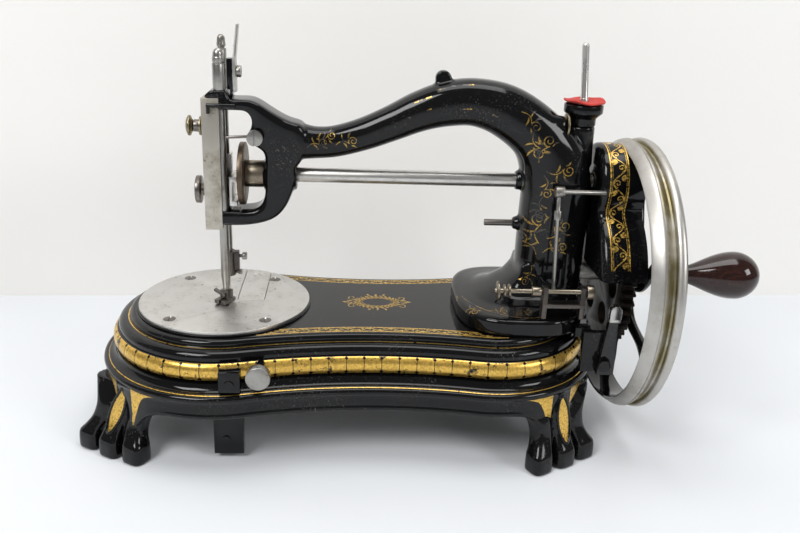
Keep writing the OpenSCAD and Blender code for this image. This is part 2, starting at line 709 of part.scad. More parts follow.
module handwheel() {
    color("#a7a6a1") place() difference() {
        union() {
            turned_x(rim_profile, 0, wheel_z);
            rod_x(hub_x, rim_right + 1, hub_r, 0, wheel_z);
            intersection() {
                for (i = [0:spokes - 1]) translate([spoke_x, 0, wheel_z])
                    rotate([180 - handle_angle + 360 * i / spokes, 0, 0]) rotate([90, 0, 90])
                        linear_extrude(6) polygon(concat(
                            [for (k = [0:12]) spoke_point(k / 12, -1)],
                            [for (k = [12:-1:0]) spoke_point(k / 12, 1)]));
                rod_x(spoke_x - 1, rim_right, rim_inner + 1, 0, wheel_z);
            }
            rod_x(spoke_x - 0.5, boss_right, 8, handle_y, handle_z);
        }
        rod_x(hub_x - 1, rim_right + 5, stud_r + run_gap, 0, wheel_z);
        rod_x(spoke_x + 1, boss_right + 1, spindle_r, handle_y, handle_z);
    }
}

module wheel_stud() {
    color("#b5b5b2") place() rod_x(pillar_right - 9.5, rim_right + 1.6, stud_r, 0, wheel_z);
}

module wheel_screw() {
    color("#b5b5b2") place() difference() {
        union() {
            rod_x(rim_right + 1.6, rim_right + 3.2, hub_r - 4, 0, wheel_z);
            rod_x(rim_right + 3.2, rim_right + 6, 5.5, 0, wheel_z);
        }
        box([rim_right + 4.8, -6, wheel_z - 0.7], [rim_right + 7, 6, wheel_z + 0.7]);
    }
}

module handle_spindle() {
    color("#c4c4c1") place() union() {
        rod_x(spoke_x + 1, grip_x + 0.8 * grip_len, spindle_r, handle_y, handle_z);
        rod_x(boss_right, grip_x - 0.4, 5.6, handle_y, handle_z);
    }
}

// The grip swells like a pear from a slim neck to a round end
function grip_radius(t) = grip_dia / 2 * (0.3 + 0.7 * pow(sin(90 * min(1, t / 0.68)), 1.35));

module handle_grip() {
    color("#3a1812") place() difference() {
        turned_x(concat([[grip_x, 0]], [for (k = [0:12]) [grip_x + 0.68 * grip_len * k / 12,
            grip_radius(0.68 * k / 12)]],
            arc(grip_x + 0.68 * grip_len, 0, 0.32 * grip_len, grip_dia / 2, 82, 0, 8)),
            handle_y, handle_z);
        rod_x(grip_x - 1, grip_x + 0.8 * grip_len + 0.4, spindle_r + run_gap, handle_y, handle_z);
    }
}

// ---- needle and presser ----

needle_top = head_base + 166;
clamp_low = plate_height + 15;

clamp_h = 17;

module needle_bar() {
    color("#8b8d8f") place() rod_z(clamp_low + 1, needle_top, bar_r, bar_x, bar_y);
}

module needle_cap() {
    color("#b8b8b5") place() translate([bar_x, bar_y, needle_top]) rotate_extrude()
        polygon(concat([[0, 0], [2.1, 0], [2.1, 0.8], [2.8, 1.6], [2.8, 3], [2.6, 4]],
            arc(0, 5.6, 2.5, 3, 0, 90, 5)));
}

// The crosshead clamps the needle bar and holds a slot across for the crank roller
module crosshead() {
    z = shaft_z - crank_throw;
    color("#9c9a94") place() difference() {
        union() {
            box([bar_x - bar_r + 0.2, bar_y - 4.6, z - 9], [bar_x + 4.6, head_depth - face_flange - move_gap, z + 22]);
            box([bar_x + 4.5, -9, z - 9.5], [disc_x - 1.6, 10.6, z + 9.5]);
        }
        rod_z(z - 20, z + 30, bar_r, bar_x, bar_y);
        box([bar_x + 6.2, -20, z - 6.4], [disc_x, 20, z + 6.4]);
    }
}

module needle_clamp() {
    color("#6f7071") place() difference() {
        union() {
            rod_z(clamp_low, clamp_low + clamp_h, bar_r + 1.9, bar_x, bar_y);
            box([bar_x, bar_y - 2.4, clamp_low + 4], [bar_x + 7.4, bar_y + 2.4, clamp_low + clamp_h]);
        }
        rod_z(clamp_low + 1, clamp_low + 30, bar_r, bar_x, bar_y);
        rod_z(clamp_low - 1, clamp_low + 2, 0.9, bar_x, bar_y);
    }
}

module clamp_screw() {
    color("#9a9a97") place() union() {
        rod_x(bar_x + 7.4, bar_x + 9.6, 1.2, bar_y, clamp_low + 13.5);
        rod_x(bar_x + 9.6, bar_x + 12.6, 2.6, bar_y, clamp_low + 13.5);
        rod_x(bar_x + 5, bar_x + 6.6, 1.2, bar_y, clamp_low + 2);
        rod_x(bar_x + 6.6, bar_x + 9.2, 1.9, bar_y, clamp_low + 2);
    }
}

module needle() {
    color("#d0d0ce") place() union() {
        rod_z(plate_height + 4, clamp_low + 1, 0.85, bar_x, bar_y);
        translate([bar_x, bar_y, plate_height - 4]) cylinder(h = 8.05, r1 = 0.15, r2 = 0.7);
    }
}

housing_top = cap_top + 16;

module presser_housing() {
    color("#a8a9aa") place() difference() {
        rod_z(cap_top, housing_top, 3.9, bar_x, -bar_y);
        rod_z(cap_top - 1, housing_top + 1, bar_r + 0.3, bar_x, -bar_y);
    }
}

module presser_cap() {
    color("#b8b8b5") place() translate([bar_x, -bar_y, housing_top]) rotate_extrude()
        polygon(concat([[0, 0], [3.4, 0], [3.4, 0.7], [3.7, 1], [3.8, 3.6], [3.5, 4]],
            arc(0, 5, 3.4, 4.4, 0, 90, 6)));
}

presser_low = plate_height + 9;

module presser_bar() {
    color("#77797b") place() union() {
        rod_z(presser_low + 10, housing_top - 8, bar_r, bar_x, -bar_y);
        translate([bar_x, -bar_y, presser_low]) cylinder(h = 10.05, r1 = 2.1, r2 = bar_r);
    }
}

// The foot turns towards the operator's left and parts into two toes
module presser_foot() {
    color("#3c3a38") place() translate([bar_x, -bar_y, plate_height]) rotate([0, 0, -30]) union() {
        box([-3.2, -2.6, 3.4], [3.2, 3, presser_low - plate_height - 0.02]);
        box([-4.4, -7.5, 0.8], [-0.9, 4, 3.4]);
        box([0.9, -7.5, 0.8], [4.4, 4, 3.4]);
        box([-4.4, 1, 1], [4.4, 4, 3.4]);
        slab_y([[-9.5, 6.2], [-3, 4.2], [-3, 5.6], [-9.5, 7.8]], -1.6, 1.2);
    }
}

module foot_screw() {
    color("#9a9a97") place() translate([bar_x, -bar_y, plate_height]) rotate([0, 0, -30])
        rod_y(-4.8, -2.6, 1.9, 0, 6.2);
}

lifter_z = head_base + 153;
lifter_x = bar_x + 8;

module lifter_bracket() {
    color("#17171a") place() difference() {
        box([bar_x + 4.5, -4.5, head_top], [lifter_x - 0.3, 4.5, head_base + 161]);
        rod_x(0, lifter_x + 1, 1.5, 0, lifter_z);
        box([bar_x + 4, -5, head_top - 1], [bar_x + 6.3, 5, cap_top]);
    }
}

module lifter_lever() {
    color("#b4b4b1") place() difference() {
        raise_head() union() {
            box([lifter_x, -4, 140.6], [lifter_x + 1.9, 4, 162]);
            slab_y([[lifter_x, 161], [lifter_x + 1.9, 161], [lifter_x + 4.2, 181.5], [lifter_x + 2.6, 181.5]],
                -3.2, 3.2);
        }
        rod_x(0, lifter_x + 3, 1.5 + run_gap, 0, lifter_z);
    }
}

module lifter_screw() {
    color("#9a9a97") place() union() {
        rod_x(bar_x + 4.8, lifter_x + 2.2, 1.45, 0, lifter_z);
        rod_x(lifter_x + 2.2, lifter_x + 5, 3.6, 0, lifter_z);
    }
}

// ---- thread path ----

module tension_stud() {
    x = face_x - face_web;
    color("#8c8468") place() union() {
        rod_x(x - 10, face_x, 1.9, 0, tension_z);
        rod_x(x - 1.4, x - 0.1, 6, 0, tension_z);
        rod_x(x - 3, x - 1.7, 6, 0, tension_z);
    }
}

// The spring is a closed sleeve of the coil's outer size
module tension_spring() {
    x = face_x - face_web;
    color("#7d7460") place() difference() {
        rod_x(x - 6.6, x - 3.1, 3.9, 0, tension_z);
        rod_x(x - 7, x - 3, 2.2, 0, tension_z);
    }
}

module tension_nut() {
    x = face_x - face_web;
    color("#8f8868") place() difference() {
        turned_x([[x - 11.3, 0], [x - 11.3, 4.4], [x - 10.2, 6.5], [x - 8.8, 6.5], [x - 8.2, 4.6],
            [x - 7, 3.6], [x - 7, 0]], 0, tension_z);
        rod_x(x - 10.1, x, 1.9 + run_gap, 0, tension_z);
    }
}

module face_nut() {
    x = face_x - face_web;
    color("#3d3934") place() union() {
        rod_x(x - 6.9, x - 3.6, 9, 0, face_nut_z);
        rod_x(x - 3.6, x - 0.3, 4, 0, face_nut_z);
        rod_x(x - 0.4, face_x, 2, 0, face_nut_z);
    }
}

module thread_rod() {
    y = -head_depth - 1.4;
    color("#1b1b1d") place() union() {
        rod_x(face_x - 4, 12, 1.3, y, head_base + 133.5);
        rod_y(y, -head_depth, 1.3, 10.6, head_base + 133.5);
        rod_z(head_base + 128.5, head_base + 133.5, 1.1, face_x - 3, y);
    }
}

stud_at = [24, head_base + 114.5];

module guide_stud() {
    color("#8c8982") place() difference() {
        union() {
            rod_y(-head_depth - 2.4, -head_depth, 3, stud_at[0], stud_at[1]);
            rod_y(-head_depth - 5.6, -head_depth - 2.4, 5, stud_at[0], stud_at[1]);
        }
        box([stud_at[0] - 0.8, -head_depth - 7, stud_at[1] - 6],
            [stud_at[0] + 0.8, -head_depth - 4, stud_at[1] + 6]);
    }
}

module thread_wire() {
    color("#2b2724") place() translate([stud_at[0] - 3.15, -head_depth - 1.2, stud_at[1] + 0.5])
        rotate([0, -94, 0]) cylinder(h = 15, r = 0.9);
}

module spool_cup() {
    color("#161618") place() difference() {
        translate([spool_x, 0, 0]) rotate_extrude() polygon([[0, spool_z - 5], [8.6, spool_z - 5],
            [8.8, spool_z], [spool_cup_r, spool_z + 3.5], [spool_cup_r, spool_z + 8.6],
            [spool_cup_r - 2, spool_z + 9], [0, spool_z + 9]]);
        translate([spool_x, 0, spool_z + 9]) rotate([0, -spool_pin_lean, 0])
            translate([0, 0, -9]) cylinder(h = 30, r = spool_pin_r + 0.3);
    }
}

module spool_felt() {
    color("#a5201c") place() difference() {
        rod_z(spool_z + 9.1, spool_z + 12, spool_cup_r + 0.8, spool_x);
        translate([spool_x, 0, spool_z + 9]) rotate([0, -spool_pin_lean, 0])
            translate([0, 0, -10]) cylinder(h = 40, r = spool_pin_r + 0.6);
    }
}

module spool_pin() {
    color("#a9a39c") place() translate([spool_x, 0, spool_z + 9]) rotate([0, -spool_pin_lean, 0])
        union() {
            translate([0, 0, -9]) cylinder(h = 12.4, r = spool_pin_r + 0.3);
            translate([0, 0, 3]) cylinder(h = spool_pin_len - 2, r = spool_pin_r);
            translate([0, 0, spool_pin_len + 1]) sphere(r = spool_pin_r);
        }
}

module upper_guide() {
    color("#5a4636") place() union() {
        rod_x(lever_x - 3.5, lever_x + 9, 1.95, -8, guide_z);
        rod_x(lever_x + 7, lever_x + 8.4, 8, -8, guide_z);
    }
}

module pillar_pin() {
    color("#2a2a2b") place() rod_x(174.7, pillar_x - pillar_half + 7.8, 2.2, 0, plate_height + 58.4);
}

// ---- under the bed ----

module rocking_lever() {
    color("#7a7a78") place() difference() {
        box([lever_x - 4, -3, plate_height - bar_drop - 3], [lever_x + 4, 3, shaft_z - 17]);
        rod_y(-4, 4, 2.5 + run_gap, lever_x, lever_z);
    }
}

module lever_pin() {
    color("#9a9a97") place() rod_y(-12, 12, 2.5, lever_x, lever_z);
}

bar_box = [[4, -3, plate_height - bar_drop - 3], [lever_x + 10, 3, plate_height - bar_drop + 3]];

module shuttle_bar() {
    color("#8b8b88") place() difference() {
        union() {
            box(bar_box[0], bar_box[1]);
            box([lever_x - 12, -7, bar_box[0][2]], [lever_x + 10, 7, bar_box[1][2]]);
            box([4, feed_at[1] + feed_tail + feed_throw + 0.8, bar_box[0][2]],
                [20, 22, plate_height - shuttle_drop]);
        }
        box([lever_x - 5.6, -3.8, 0], [lever_x + 5.6, 3.8, plate_height]);
    }
}

// Boat-shaped shuttle, pointed at both ends, with its bobbin trough open above
module shuttle() {
    z = plate_height - shuttle_drop;
    color("#b6b6b3") place() translate([12, 16, z]) difference() {
        linear_extrude(5.6) polygon(concat(arc(0, -14, 24, 20, 50, 130, 10), arc(0, 14, 24, 20, 230, 310, 10)));
        translate([-9, -2.6, 1.4]) cube([18, 5.2, 6]);
    }
}

module bar_guides() {
    g = move_gap;
    color("#1a1a1c") place() for (x = [70, 150]) difference() {
        box([x, -8, bar_box[0][2] - 4], [x + 10, 8, slab_under]);
        box([x - 1, bar_box[0][1] - g, bar_box[0][2] - g], [x + 11, bar_box[1][1] + g, bar_box[1][2] + g]);
    }
}

module feed_dog() {
    z = slab_under - 0.3;
    color("#8b8b88") place() union() {
        box([feed_at[0] - 3, feed_at[1] - feed_tail, z - 1],
            [feed_at[0] + 3, feed_at[1] + feed_tail, plate_height - 0.3]);
        box([feed_at[0] - 3, -48, z - 6], [feed_at[0] + 3, feed_at[1] + feed_tail, z]);
    }
}

// ---- bobbin winder, stop lever and small fittings ----

winder_z = plate_height + winder_rise;

module winder_bracket() {
    color("#55534e") place() difference() {
        union() {
            box([208, -winder_y - 4, winder_z - 10], [235.5, -winder_y + 4, winder_z - 7.5]);
            for (x = [208, 232.5]) box([x, -winder_y - 3.4, boot_top + 0.3], [x + 3, -winder_y + 3.4, winder_z + 3.4]);
        }
        rod_x(200, 240, winder_r + run_gap, -winder_y, winder_z);
    }
}

module bobbin_spindle() {
    color("#c4c4c0") place() union() {
        rod_x(177, 241, winder_r, -winder_y, winder_z);
        rod_x(178.3, 179.6, 6.2, -winder_y, winder_z);
        rod_x(182.5, 184, 4, -winder_y, winder_z);
        rod_x(185.6, 187, 4.4, -winder_y, winder_z);
        rod_x(201, 206.6, 3.3, -winder_y, winder_z);
        rod_x(236.2, 241, 4.6, -winder_y, winder_z);
    }
}

// The thread guide hangs from its own shaft and leans out to the spindle
module swing_guide() {
    out = winder_y + guide_at[0] - 7;
    lean = atan2(out, guide_at[1] - winder_z);
    rod_len = norm([out, guide_at[1] - winder_z]) + 2;
    color("#c0c0bd") place() union() {
        rod_x(216, cover_x + 2.5, winder_r, guide_at[0], guide_at[1]);
        rod_x(214, 219.6, 3.6, guide_at[0], guide_at[1]);
        translate([216.6, guide_at[0], guide_at[1]]) rotate([180 - lean, 0, 0]) cylinder(h = rod_len, r = 1.3);
        translate([216.6, guide_at[0], guide_at[1]]) rotate([180 - lean, 0, 0])
            translate([0, 0, 12]) cylinder(h = 6, r = 2.4);
    }
}

stop_pivot = [250, plate_height - 19];
stop_screw_r = 2.2;

module stop_bracket() {
    color("#121214") place() difference() {
        union() {
            box([232, -47.5, plate_height - 4], [cover_x - 2, -40, plate_height + 2.5]);
            box([236, -53.6, plate_height - 26], [cover_x + 9, -48.9, plate_height + 2]);
            box([236, -49, plate_height - 6], [cover_x - 2, -47, plate_height + 2]);
        }
        rod_y(-60, -40, stop_screw_r, stop_pivot[0], stop_pivot[1]);
    }
}

module stop_lever() {
    color("#2a2a2c") place() raise_plate() union() {
        difference() {
            slab_y([[246, -26], [257, -26], [257.2, 13], [250.2, 13]], -58, -54);
            rod_y(-60, -50, stop_screw_r + run_gap, stop_pivot[0], stop_pivot[1] - plate_height);
        }
        slab_y(concat([[250, 13], [257.4, 13]], arc(253.7, 18.5, 3.7, 3.7, 0, 180, 8)), -58.4, -53.6);
    }
}

module stitch_knob() {
    color("#8f8f8c") place() union() {
        rod_y(-lug_y - 6, -lug_y, knob_r, knob_at[0], knob_at[1]);
        rod_y(-lug_y - 0.1, boss_root - 2, knob_shank_r, knob_at[0], knob_at[1]);
    }
}

// Lug, hanging bracket and three slotted screws on the front of the base
module case_fittings() {
    color("#18181a") place() union() {
        box([lug_x[0], -lug_y, lug_z[0]], [lug_x[1], lug_root, lug_z[1]]);
        rod_y(-lug_y - 1.6, -lug_y, 3, 12.5, plate_height - 24);
        difference() {
            rod_y(-lug_y + 2.6, boss_root, boss_r, knob_at[0], knob_at[1]);
            rod_y(-lug_y, boss_root - 1.5, knob_shank_r + run_gap, knob_at[0], knob_at[1]);
        }
        raise_plate() box([2, -61.5, -84], [15, -56, -bed_mould_h - plate_rise]);
        raise_plate() box([-1, -62, -84], [18, -55, -50]);
        rod_y(-63.4, -62, 2.6, 7, plate_height - 73);
        rod_y(-58.4, -48.9, stop_screw_r, stop_pivot[0], stop_pivot[1]);
        rod_y(-60.4, -58.4, 4, stop_pivot[0], stop_pivot[1]);
    }
}

base_casting();
bed();
needle_plate();
plate_screws();
slide_cover();
arm();
head_frame();
face_plate();
gear_cover();
front_bush();
rear_bushes();
spool_cup();
spool_felt();
spool_pin();
upper_guide();
pillar_pin();
tension_stud();
tension_spring();
tension_nut();
face_nut();
thread_rod();
guide_stud();
thread_wire();
presser_housing();
presser_cap();
presser_bar();
presser_foot();
foot_screw();
lifter_bracket();
lifter_lever();
lifter_screw();
needle_bar();
needle_cap();
crosshead();
needle_clamp();
clamp_screw();
needle();
main_shaft();
crank_disc();
barrel_cam();
pinion();
drive_gear();
handwheel();
wheel_stud();
wheel_screw();
handle_spindle();
handle_grip();
rocking_lever();
lever_pin();
shuttle_bar();
shuttle();
bar_guides();
feed_dog();
winder_bracket();
bobbin_spindle();
swing_guide();
stop_bracket();
stop_lever();
stitch_knob();
case_fittings();
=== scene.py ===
"""Looks of a hand-crank sewing machine: enamelled castings with gilding, bright steel and brass.

Working coordinates are millimetres: x from the needle plate's centre, y from the main shaft's
plane (away from the operator), z up from the floor. A finished piece is in metres in the frame.
"""

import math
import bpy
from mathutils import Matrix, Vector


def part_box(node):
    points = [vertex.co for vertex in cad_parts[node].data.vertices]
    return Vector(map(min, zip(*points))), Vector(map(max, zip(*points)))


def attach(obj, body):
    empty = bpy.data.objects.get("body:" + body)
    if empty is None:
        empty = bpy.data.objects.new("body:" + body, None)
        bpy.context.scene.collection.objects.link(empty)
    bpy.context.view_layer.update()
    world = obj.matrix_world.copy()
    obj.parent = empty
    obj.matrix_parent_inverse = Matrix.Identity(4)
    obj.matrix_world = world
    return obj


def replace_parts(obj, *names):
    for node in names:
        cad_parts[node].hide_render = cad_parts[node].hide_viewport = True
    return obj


bl_info = {
    "name": "Hand-crank sewing machine",
    "version": (1, 0, 0),
    "blender": (4, 5, 0),
    "location": "3D View > Sidebar > Sewing machine",
    "description": "Builds the enamelled castings, bright metal and gilding of a sewing machine",
    "category": "Object",
}

import bmesh
import bpy
import numpy as np
from mathutils import Matrix, Vector

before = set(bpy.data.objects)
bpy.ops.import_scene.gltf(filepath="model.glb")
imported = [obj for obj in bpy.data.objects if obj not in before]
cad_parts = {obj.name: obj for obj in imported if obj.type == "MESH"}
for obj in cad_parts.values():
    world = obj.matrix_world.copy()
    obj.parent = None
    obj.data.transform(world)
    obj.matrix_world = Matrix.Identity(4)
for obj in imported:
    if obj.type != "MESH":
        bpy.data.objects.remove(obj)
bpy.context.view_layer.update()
PLATE_LOW, PLATE_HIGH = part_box("needle_plate")
PLATE_X = 0.5 * (PLATE_LOW.x + PLATE_HIGH.x)
PLATE_Z = PLATE_HIGH.z * 1000


def work_box(node):
    """The low and high corners of a node's box in working coordinates."""
    return [np.array(corner[:]) * 1000 - [PLATE_X * 1000, 0, 0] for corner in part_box(node)]


def middle(node, axis):
    """The middle of a node's box along one axis, in millimetres."""
    low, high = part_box(node)
    return 500 * (low[axis] + high[axis])


SHAFT_Z = middle("main_shaft", 2)
WHEEL_Z = middle("wheel_stud", 2)

# ---------------------------------------------------------------- settings


def colour_property(name, description, default):
    return bpy.props.FloatVectorProperty(name=name, description=description, default=default,
                                         subtype="COLOR", size=4, min=0, max=1)


class EnamelSettings(bpy.types.PropertyGroup):
    black: colour_property("Black", "Colour of the enamel", (0.003, 0.0031, 0.0036, 1))
    gold: colour_property("Gold", "Colour of the gilding", (0.74, 0.47, 0.1, 1))
    gold_wear: bpy.props.FloatProperty(
        name="Gold wear", description="Share of the gilding that is rubbed away",
        default=0.3, min=0, max=1)
    division: bpy.props.FloatProperty(
        name="Band division", description="Distance between the lines across the gilded band",
        default=11.3, min=6, max=20)


class MetalSettings(bpy.types.PropertyGroup):
    bright: colour_property("Bright steel", "Colour of polished steel", (0.62, 0.61, 0.59, 1))
    dark: colour_property("Dark steel", "Colour of aged steel", (0.2, 0.185, 0.17, 1))
    brass: colour_property("Brass", "Colour of tarnished brass", (0.27, 0.235, 0.15, 1))


class TrimSettings(bpy.types.PropertyGroup):
    wood: colour_property("Wood", "Colour of the turned grip", (0.013, 0.0045, 0.0035, 1))
    felt: colour_property("Felt", "Colour of the spool felt", (0.44, 0.022, 0.016, 1))


# ---------------------------------------------------------------- meshes


def arc(cx, cy, rx, ry, start, end, steps):
    """Points of an elliptical arc: centre plus radius times cosine and sine of the angle."""
    a = np.radians(np.linspace(start, end, steps + 1))
    return np.stack([cx + rx * np.cos(a), cy + ry * np.sin(a)], -1)


def superellipse(rx, ry, power, count):
    """Points with |x/rx|^power + |y/ry|^power = 1, from the signed powers of cosine and sine."""
    a = 2 * np.pi * np.arange(count) / count
    c, s = np.cos(a), np.sin(a)
    return np.stack([rx * np.sign(c) * np.abs(c) ** (2 / power),
                     ry * np.sign(s) * np.abs(s) ** (2 / power)], -1)


def smooth_rows(rows, steps):
    """Catmull-Rom run through rows: each point is a cubic blend of its four nearest rows."""
    rows = np.asarray(rows, float)
    padded = np.concatenate([rows[:1], rows, rows[-1:]])
    t = (np.arange(steps) / steps)[None, :, None]
    p0, p1, p2, p3 = (padded[i:len(rows) - 1 + i][:, None, :] for i in range(4))
    run = 0.5 * (2 * p1 + (p2 - p0) * t + (2 * p0 - 5 * p1 + 4 * p2 - p3) * t ** 2
                 + (3 * p1 - p0 - 3 * p2 + p3) * t ** 3)
    return np.concatenate([run.reshape(-1, rows.shape[1]), rows[-1:]])


def resample(points, count, closed=False):
    """Points at equal steps of length along a polyline."""
    points = np.asarray(points, float)
    if closed:
        points = np.concatenate([points, points[:1]])
    length = run_length(points)
    at = np.linspace(0, length[-1], count + 1 if closed else count)
    out = np.stack([np.interp(at, length, points[:, k]) for k in range(points.shape[1])], -1)
    return out[:-1] if closed else out


def run_length(points):
    """Length along a polyline at each of its points."""
    return np.concatenate([[0], np.cumsum(np.linalg.norm(np.diff(points, axis=0), axis=1))])


def closed_run(ring):
    """Length along a closed outline, from its first point round to that point again."""
    return run_length(np.concatenate([ring, ring[:1]]))


def at_level(ring, z):
    """An (x, y) outline at one height."""
    return np.concatenate([ring, np.full((len(ring), 1), z)], 1)


def at_place(x, ring):
    """A (y, z) outline at one x."""
    return np.stack([np.full(len(ring), x), ring[:, 0], ring[:, 1]], -1)


def turned_flat(points, degrees, x, y):
    """Flat points turned about the origin and then moved."""
    c, s = math.cos(math.radians(degrees)), math.sin(math.radians(degrees))
    return np.stack([points[..., 0] * c - points[..., 1] * s + x,
                     points[..., 0] * s + points[..., 1] * c + y], -1)


class Shape:
    """Gathers the grids and caps of one piece, in millimetres."""

    def __init__(self):
        self.points, self.faces, self.uvs, self.marks, self.count = [], [], [], [], 0

    def add(self, points):
        points = np.asarray(points, float).reshape(-1, 3)
        self.points.append(points)
        first, self.count = self.count, self.count + len(points)
        return first

    def grid(self, points, wrap_rows=False, wrap_cols=False, u=None, v=None, mark=0,
             caps=(False, False)):
        """A grid of quads; u runs over the columns and v over the rows of its own UV map."""
        points = np.asarray(points, float)
        rows, cols = points.shape[:2]
        first = self.add(points)
        r, c = np.meshgrid(np.arange(rows if wrap_rows else rows - 1),
                           np.arange(cols if wrap_cols else cols - 1), indexing="ij")
        corners = [(r, c), (r, c + 1), (r + 1, c + 1), (r + 1, c)]
        quads = np.stack([first + (a % rows) * cols + b % cols for a, b in corners], -1)
        self.faces += quads.reshape(-1, 4).tolist()
        u = np.arange(cols + 1) / cols if u is None else np.asarray(u, float)
        v = np.arange(rows + 1) / rows if v is None else np.asarray(v, float)
        uv = np.stack([np.stack([u[np.minimum(b, len(u) - 1)], v[np.minimum(a, len(v) - 1)]], -1)
                       for a, b in corners], -2)
        self.uvs += list(uv.reshape(-1, 4, 2))
        self.marks += [mark] * (len(quads.reshape(-1, 4)))
        for row, wanted in ((0, caps[0]), (rows - 1, caps[1])):
            if wanted:
                self.faces.append((first + row * cols + np.arange(cols)).tolist())
                self.uvs.append(np.tile([u[0], v[min(row, len(v) - 1)]], (cols, 1)))
                self.marks.append(mark)
        return self

    def turned(self, profile, centre=(0, 0, 0), axis="z", count=64, v=None):
        """A [along, radius] profile turned round an axis: radius times cosine and sine."""
        profile = np.asarray(profile, float)
        a = 2 * np.pi * np.arange(count) / count
        along = np.repeat(profile[:, :1], count, 1)
        p = profile[:, 1:] * np.cos(a)[None]
        q = profile[:, 1:] * np.sin(a)[None]
        order = {"x": (along, p, q), "y": (q, along, p), "z": (p, q, along)}[axis]
        points = np.stack(order, -1) + np.asarray(centre, float)
        return self.grid(points, wrap_cols=True, v=v,
                         caps=(profile[0, 1] > 0, profile[-1, 1] > 0))

    def loop_tube(self, path, radius, count):
        """A round section carried round a closed path, turned so that it doesn't twist."""
        ahead = np.gradient(path, axis=0)
        ahead /= np.linalg.norm(ahead, axis=1)[:, None]
        side = np.zeros_like(path)
        start = np.cross(ahead[0], [0.31, 0.5, 0.81])
        side[0] = start / np.linalg.norm(start)
        for k in range(1, len(path)):
            s = side[k - 1] - ahead[k] * (side[k - 1] @ ahead[k])
            side[k] = s / np.linalg.norm(s)
        up = np.cross(ahead, side)
        a = 2 * np.pi * np.arange(count) / count
        ring = np.cos(a)[None, :, None] * side[:, None] + np.sin(a)[None, :, None] * up[:, None]
        return self.grid(path[:, None] + ring * radius, wrap_cols=True, wrap_rows=True)

    def plate(self, outline, half):
        """A flat (x, z) outline given thickness both ways along Y."""
        x, z = np.asarray(outline, float).T
        rows = [np.stack([x, np.full(len(x), y), z], -1) for y in (-half, half)]
        return self.grid(np.stack(rows), wrap_cols=True, caps=(True, True))

    def mesh(self, name):
        points = np.concatenate(self.points) / 1000
        points[:, 0] += PLATE_X
        mesh = bpy.data.meshes.new(name)
        mesh.from_pydata(points.tolist(), [], self.faces)
        layer = mesh.uv_layers.new(name="UVMap")
        layer.data.foreach_set("uv", np.concatenate(self.uvs).astype(np.float32).ravel())
        mesh.polygons.foreach_set("material_index", np.asarray(self.marks, np.int32))
        return mesh


WELD = 1e-6


def outward(mesh):
    """Welds doubles and turns every face outwards."""
    work = bmesh.new()
    work.from_mesh(mesh)
    bmesh.ops.remove_doubles(work, verts=work.verts, dist=WELD)
    bmesh.ops.dissolve_degenerate(work, edges=work.edges, dist=WELD)
    bmesh.ops.recalc_face_normals(work, faces=work.faces)
    work.to_mesh(mesh)
    work.free()


def finish_piece(name, mesh, materials, body, slot, replaces=(), closed=True, sharp=38,
                 modifiers=()):
    """Makes a piece of a mesh, applies its modifiers, shades it and rides it on its body."""
    if closed:
        outward(mesh)
    obj = bpy.data.objects.new(name, mesh)
    bpy.context.scene.collection.objects.link(obj)
    for kind, values in modifiers:
        mod = obj.modifiers.new(kind, kind)
        for key, value in values.items():
            setattr(mod, key, value)
    if obj.modifiers:
        done = bpy.data.meshes.new_from_object(
            obj.evaluated_get(bpy.context.evaluated_depsgraph_get()))
        obj.modifiers.clear()
        obj.data = done
        done.name = name
    marks = np.zeros(len(obj.data.polygons), np.int32)
    obj.data.polygons.foreach_get("material_index", marks)
    obj.data.materials.clear()
    for material in materials:
        obj.data.materials.append(material)
    obj.data.polygons.foreach_set("material_index", np.minimum(marks, len(materials) - 1))
    obj.data.polygons.foreach_set("use_smooth", [True] * len(obj.data.polygons))
    obj.data.set_sharp_from_angle(angle=math.radians(sharp))
    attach(obj, body)
    if replaces:
        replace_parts(obj, *replaces)
    return obj


def shape_piece(name, shape, material, body="frame", slot="black_enamel", **finish):
    """A piece made of a shape in one material; most are enamelled and on the frame."""
    return finish_piece(name, shape.mesh(name), [material], body, slot, **finish)


def sheet_piece(name, shape, material, modifiers=()):
    """A thin sheet on the frame, whose faces stay as they were laid."""
    return shape_piece(name, shape, material, closed=False, sharp=80, modifiers=modifiers)


def dressed_node(node, material, body, slot, bevel):
    """A merged copy of a CAD node with its edges rounded, in place of the node."""
    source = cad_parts[node]
    mesh = source.data.copy()
    mesh.transform(source.matrix_world)
    work = bmesh.new()
    work.from_mesh(mesh)
    bmesh.ops.remove_doubles(work, verts=work.verts, dist=2 * WELD)
    bmesh.ops.dissolve_limit(work, angle_limit=math.radians(1.5), verts=work.verts,
                             edges=work.edges)
    work.to_mesh(mesh)
    work.free()
    rounding = [("BEVEL", {"width": bevel / 1000, "segments": 2, "limit_method": "ANGLE",
                           "angle_limit": math.radians(32)})]
    return finish_piece(node + "_piece", mesh, [material], body, slot, replaces=(node,),
                        closed=False, modifiers=rounding if bevel else ())


# ---------------------------------------------------------------- node groups and materials


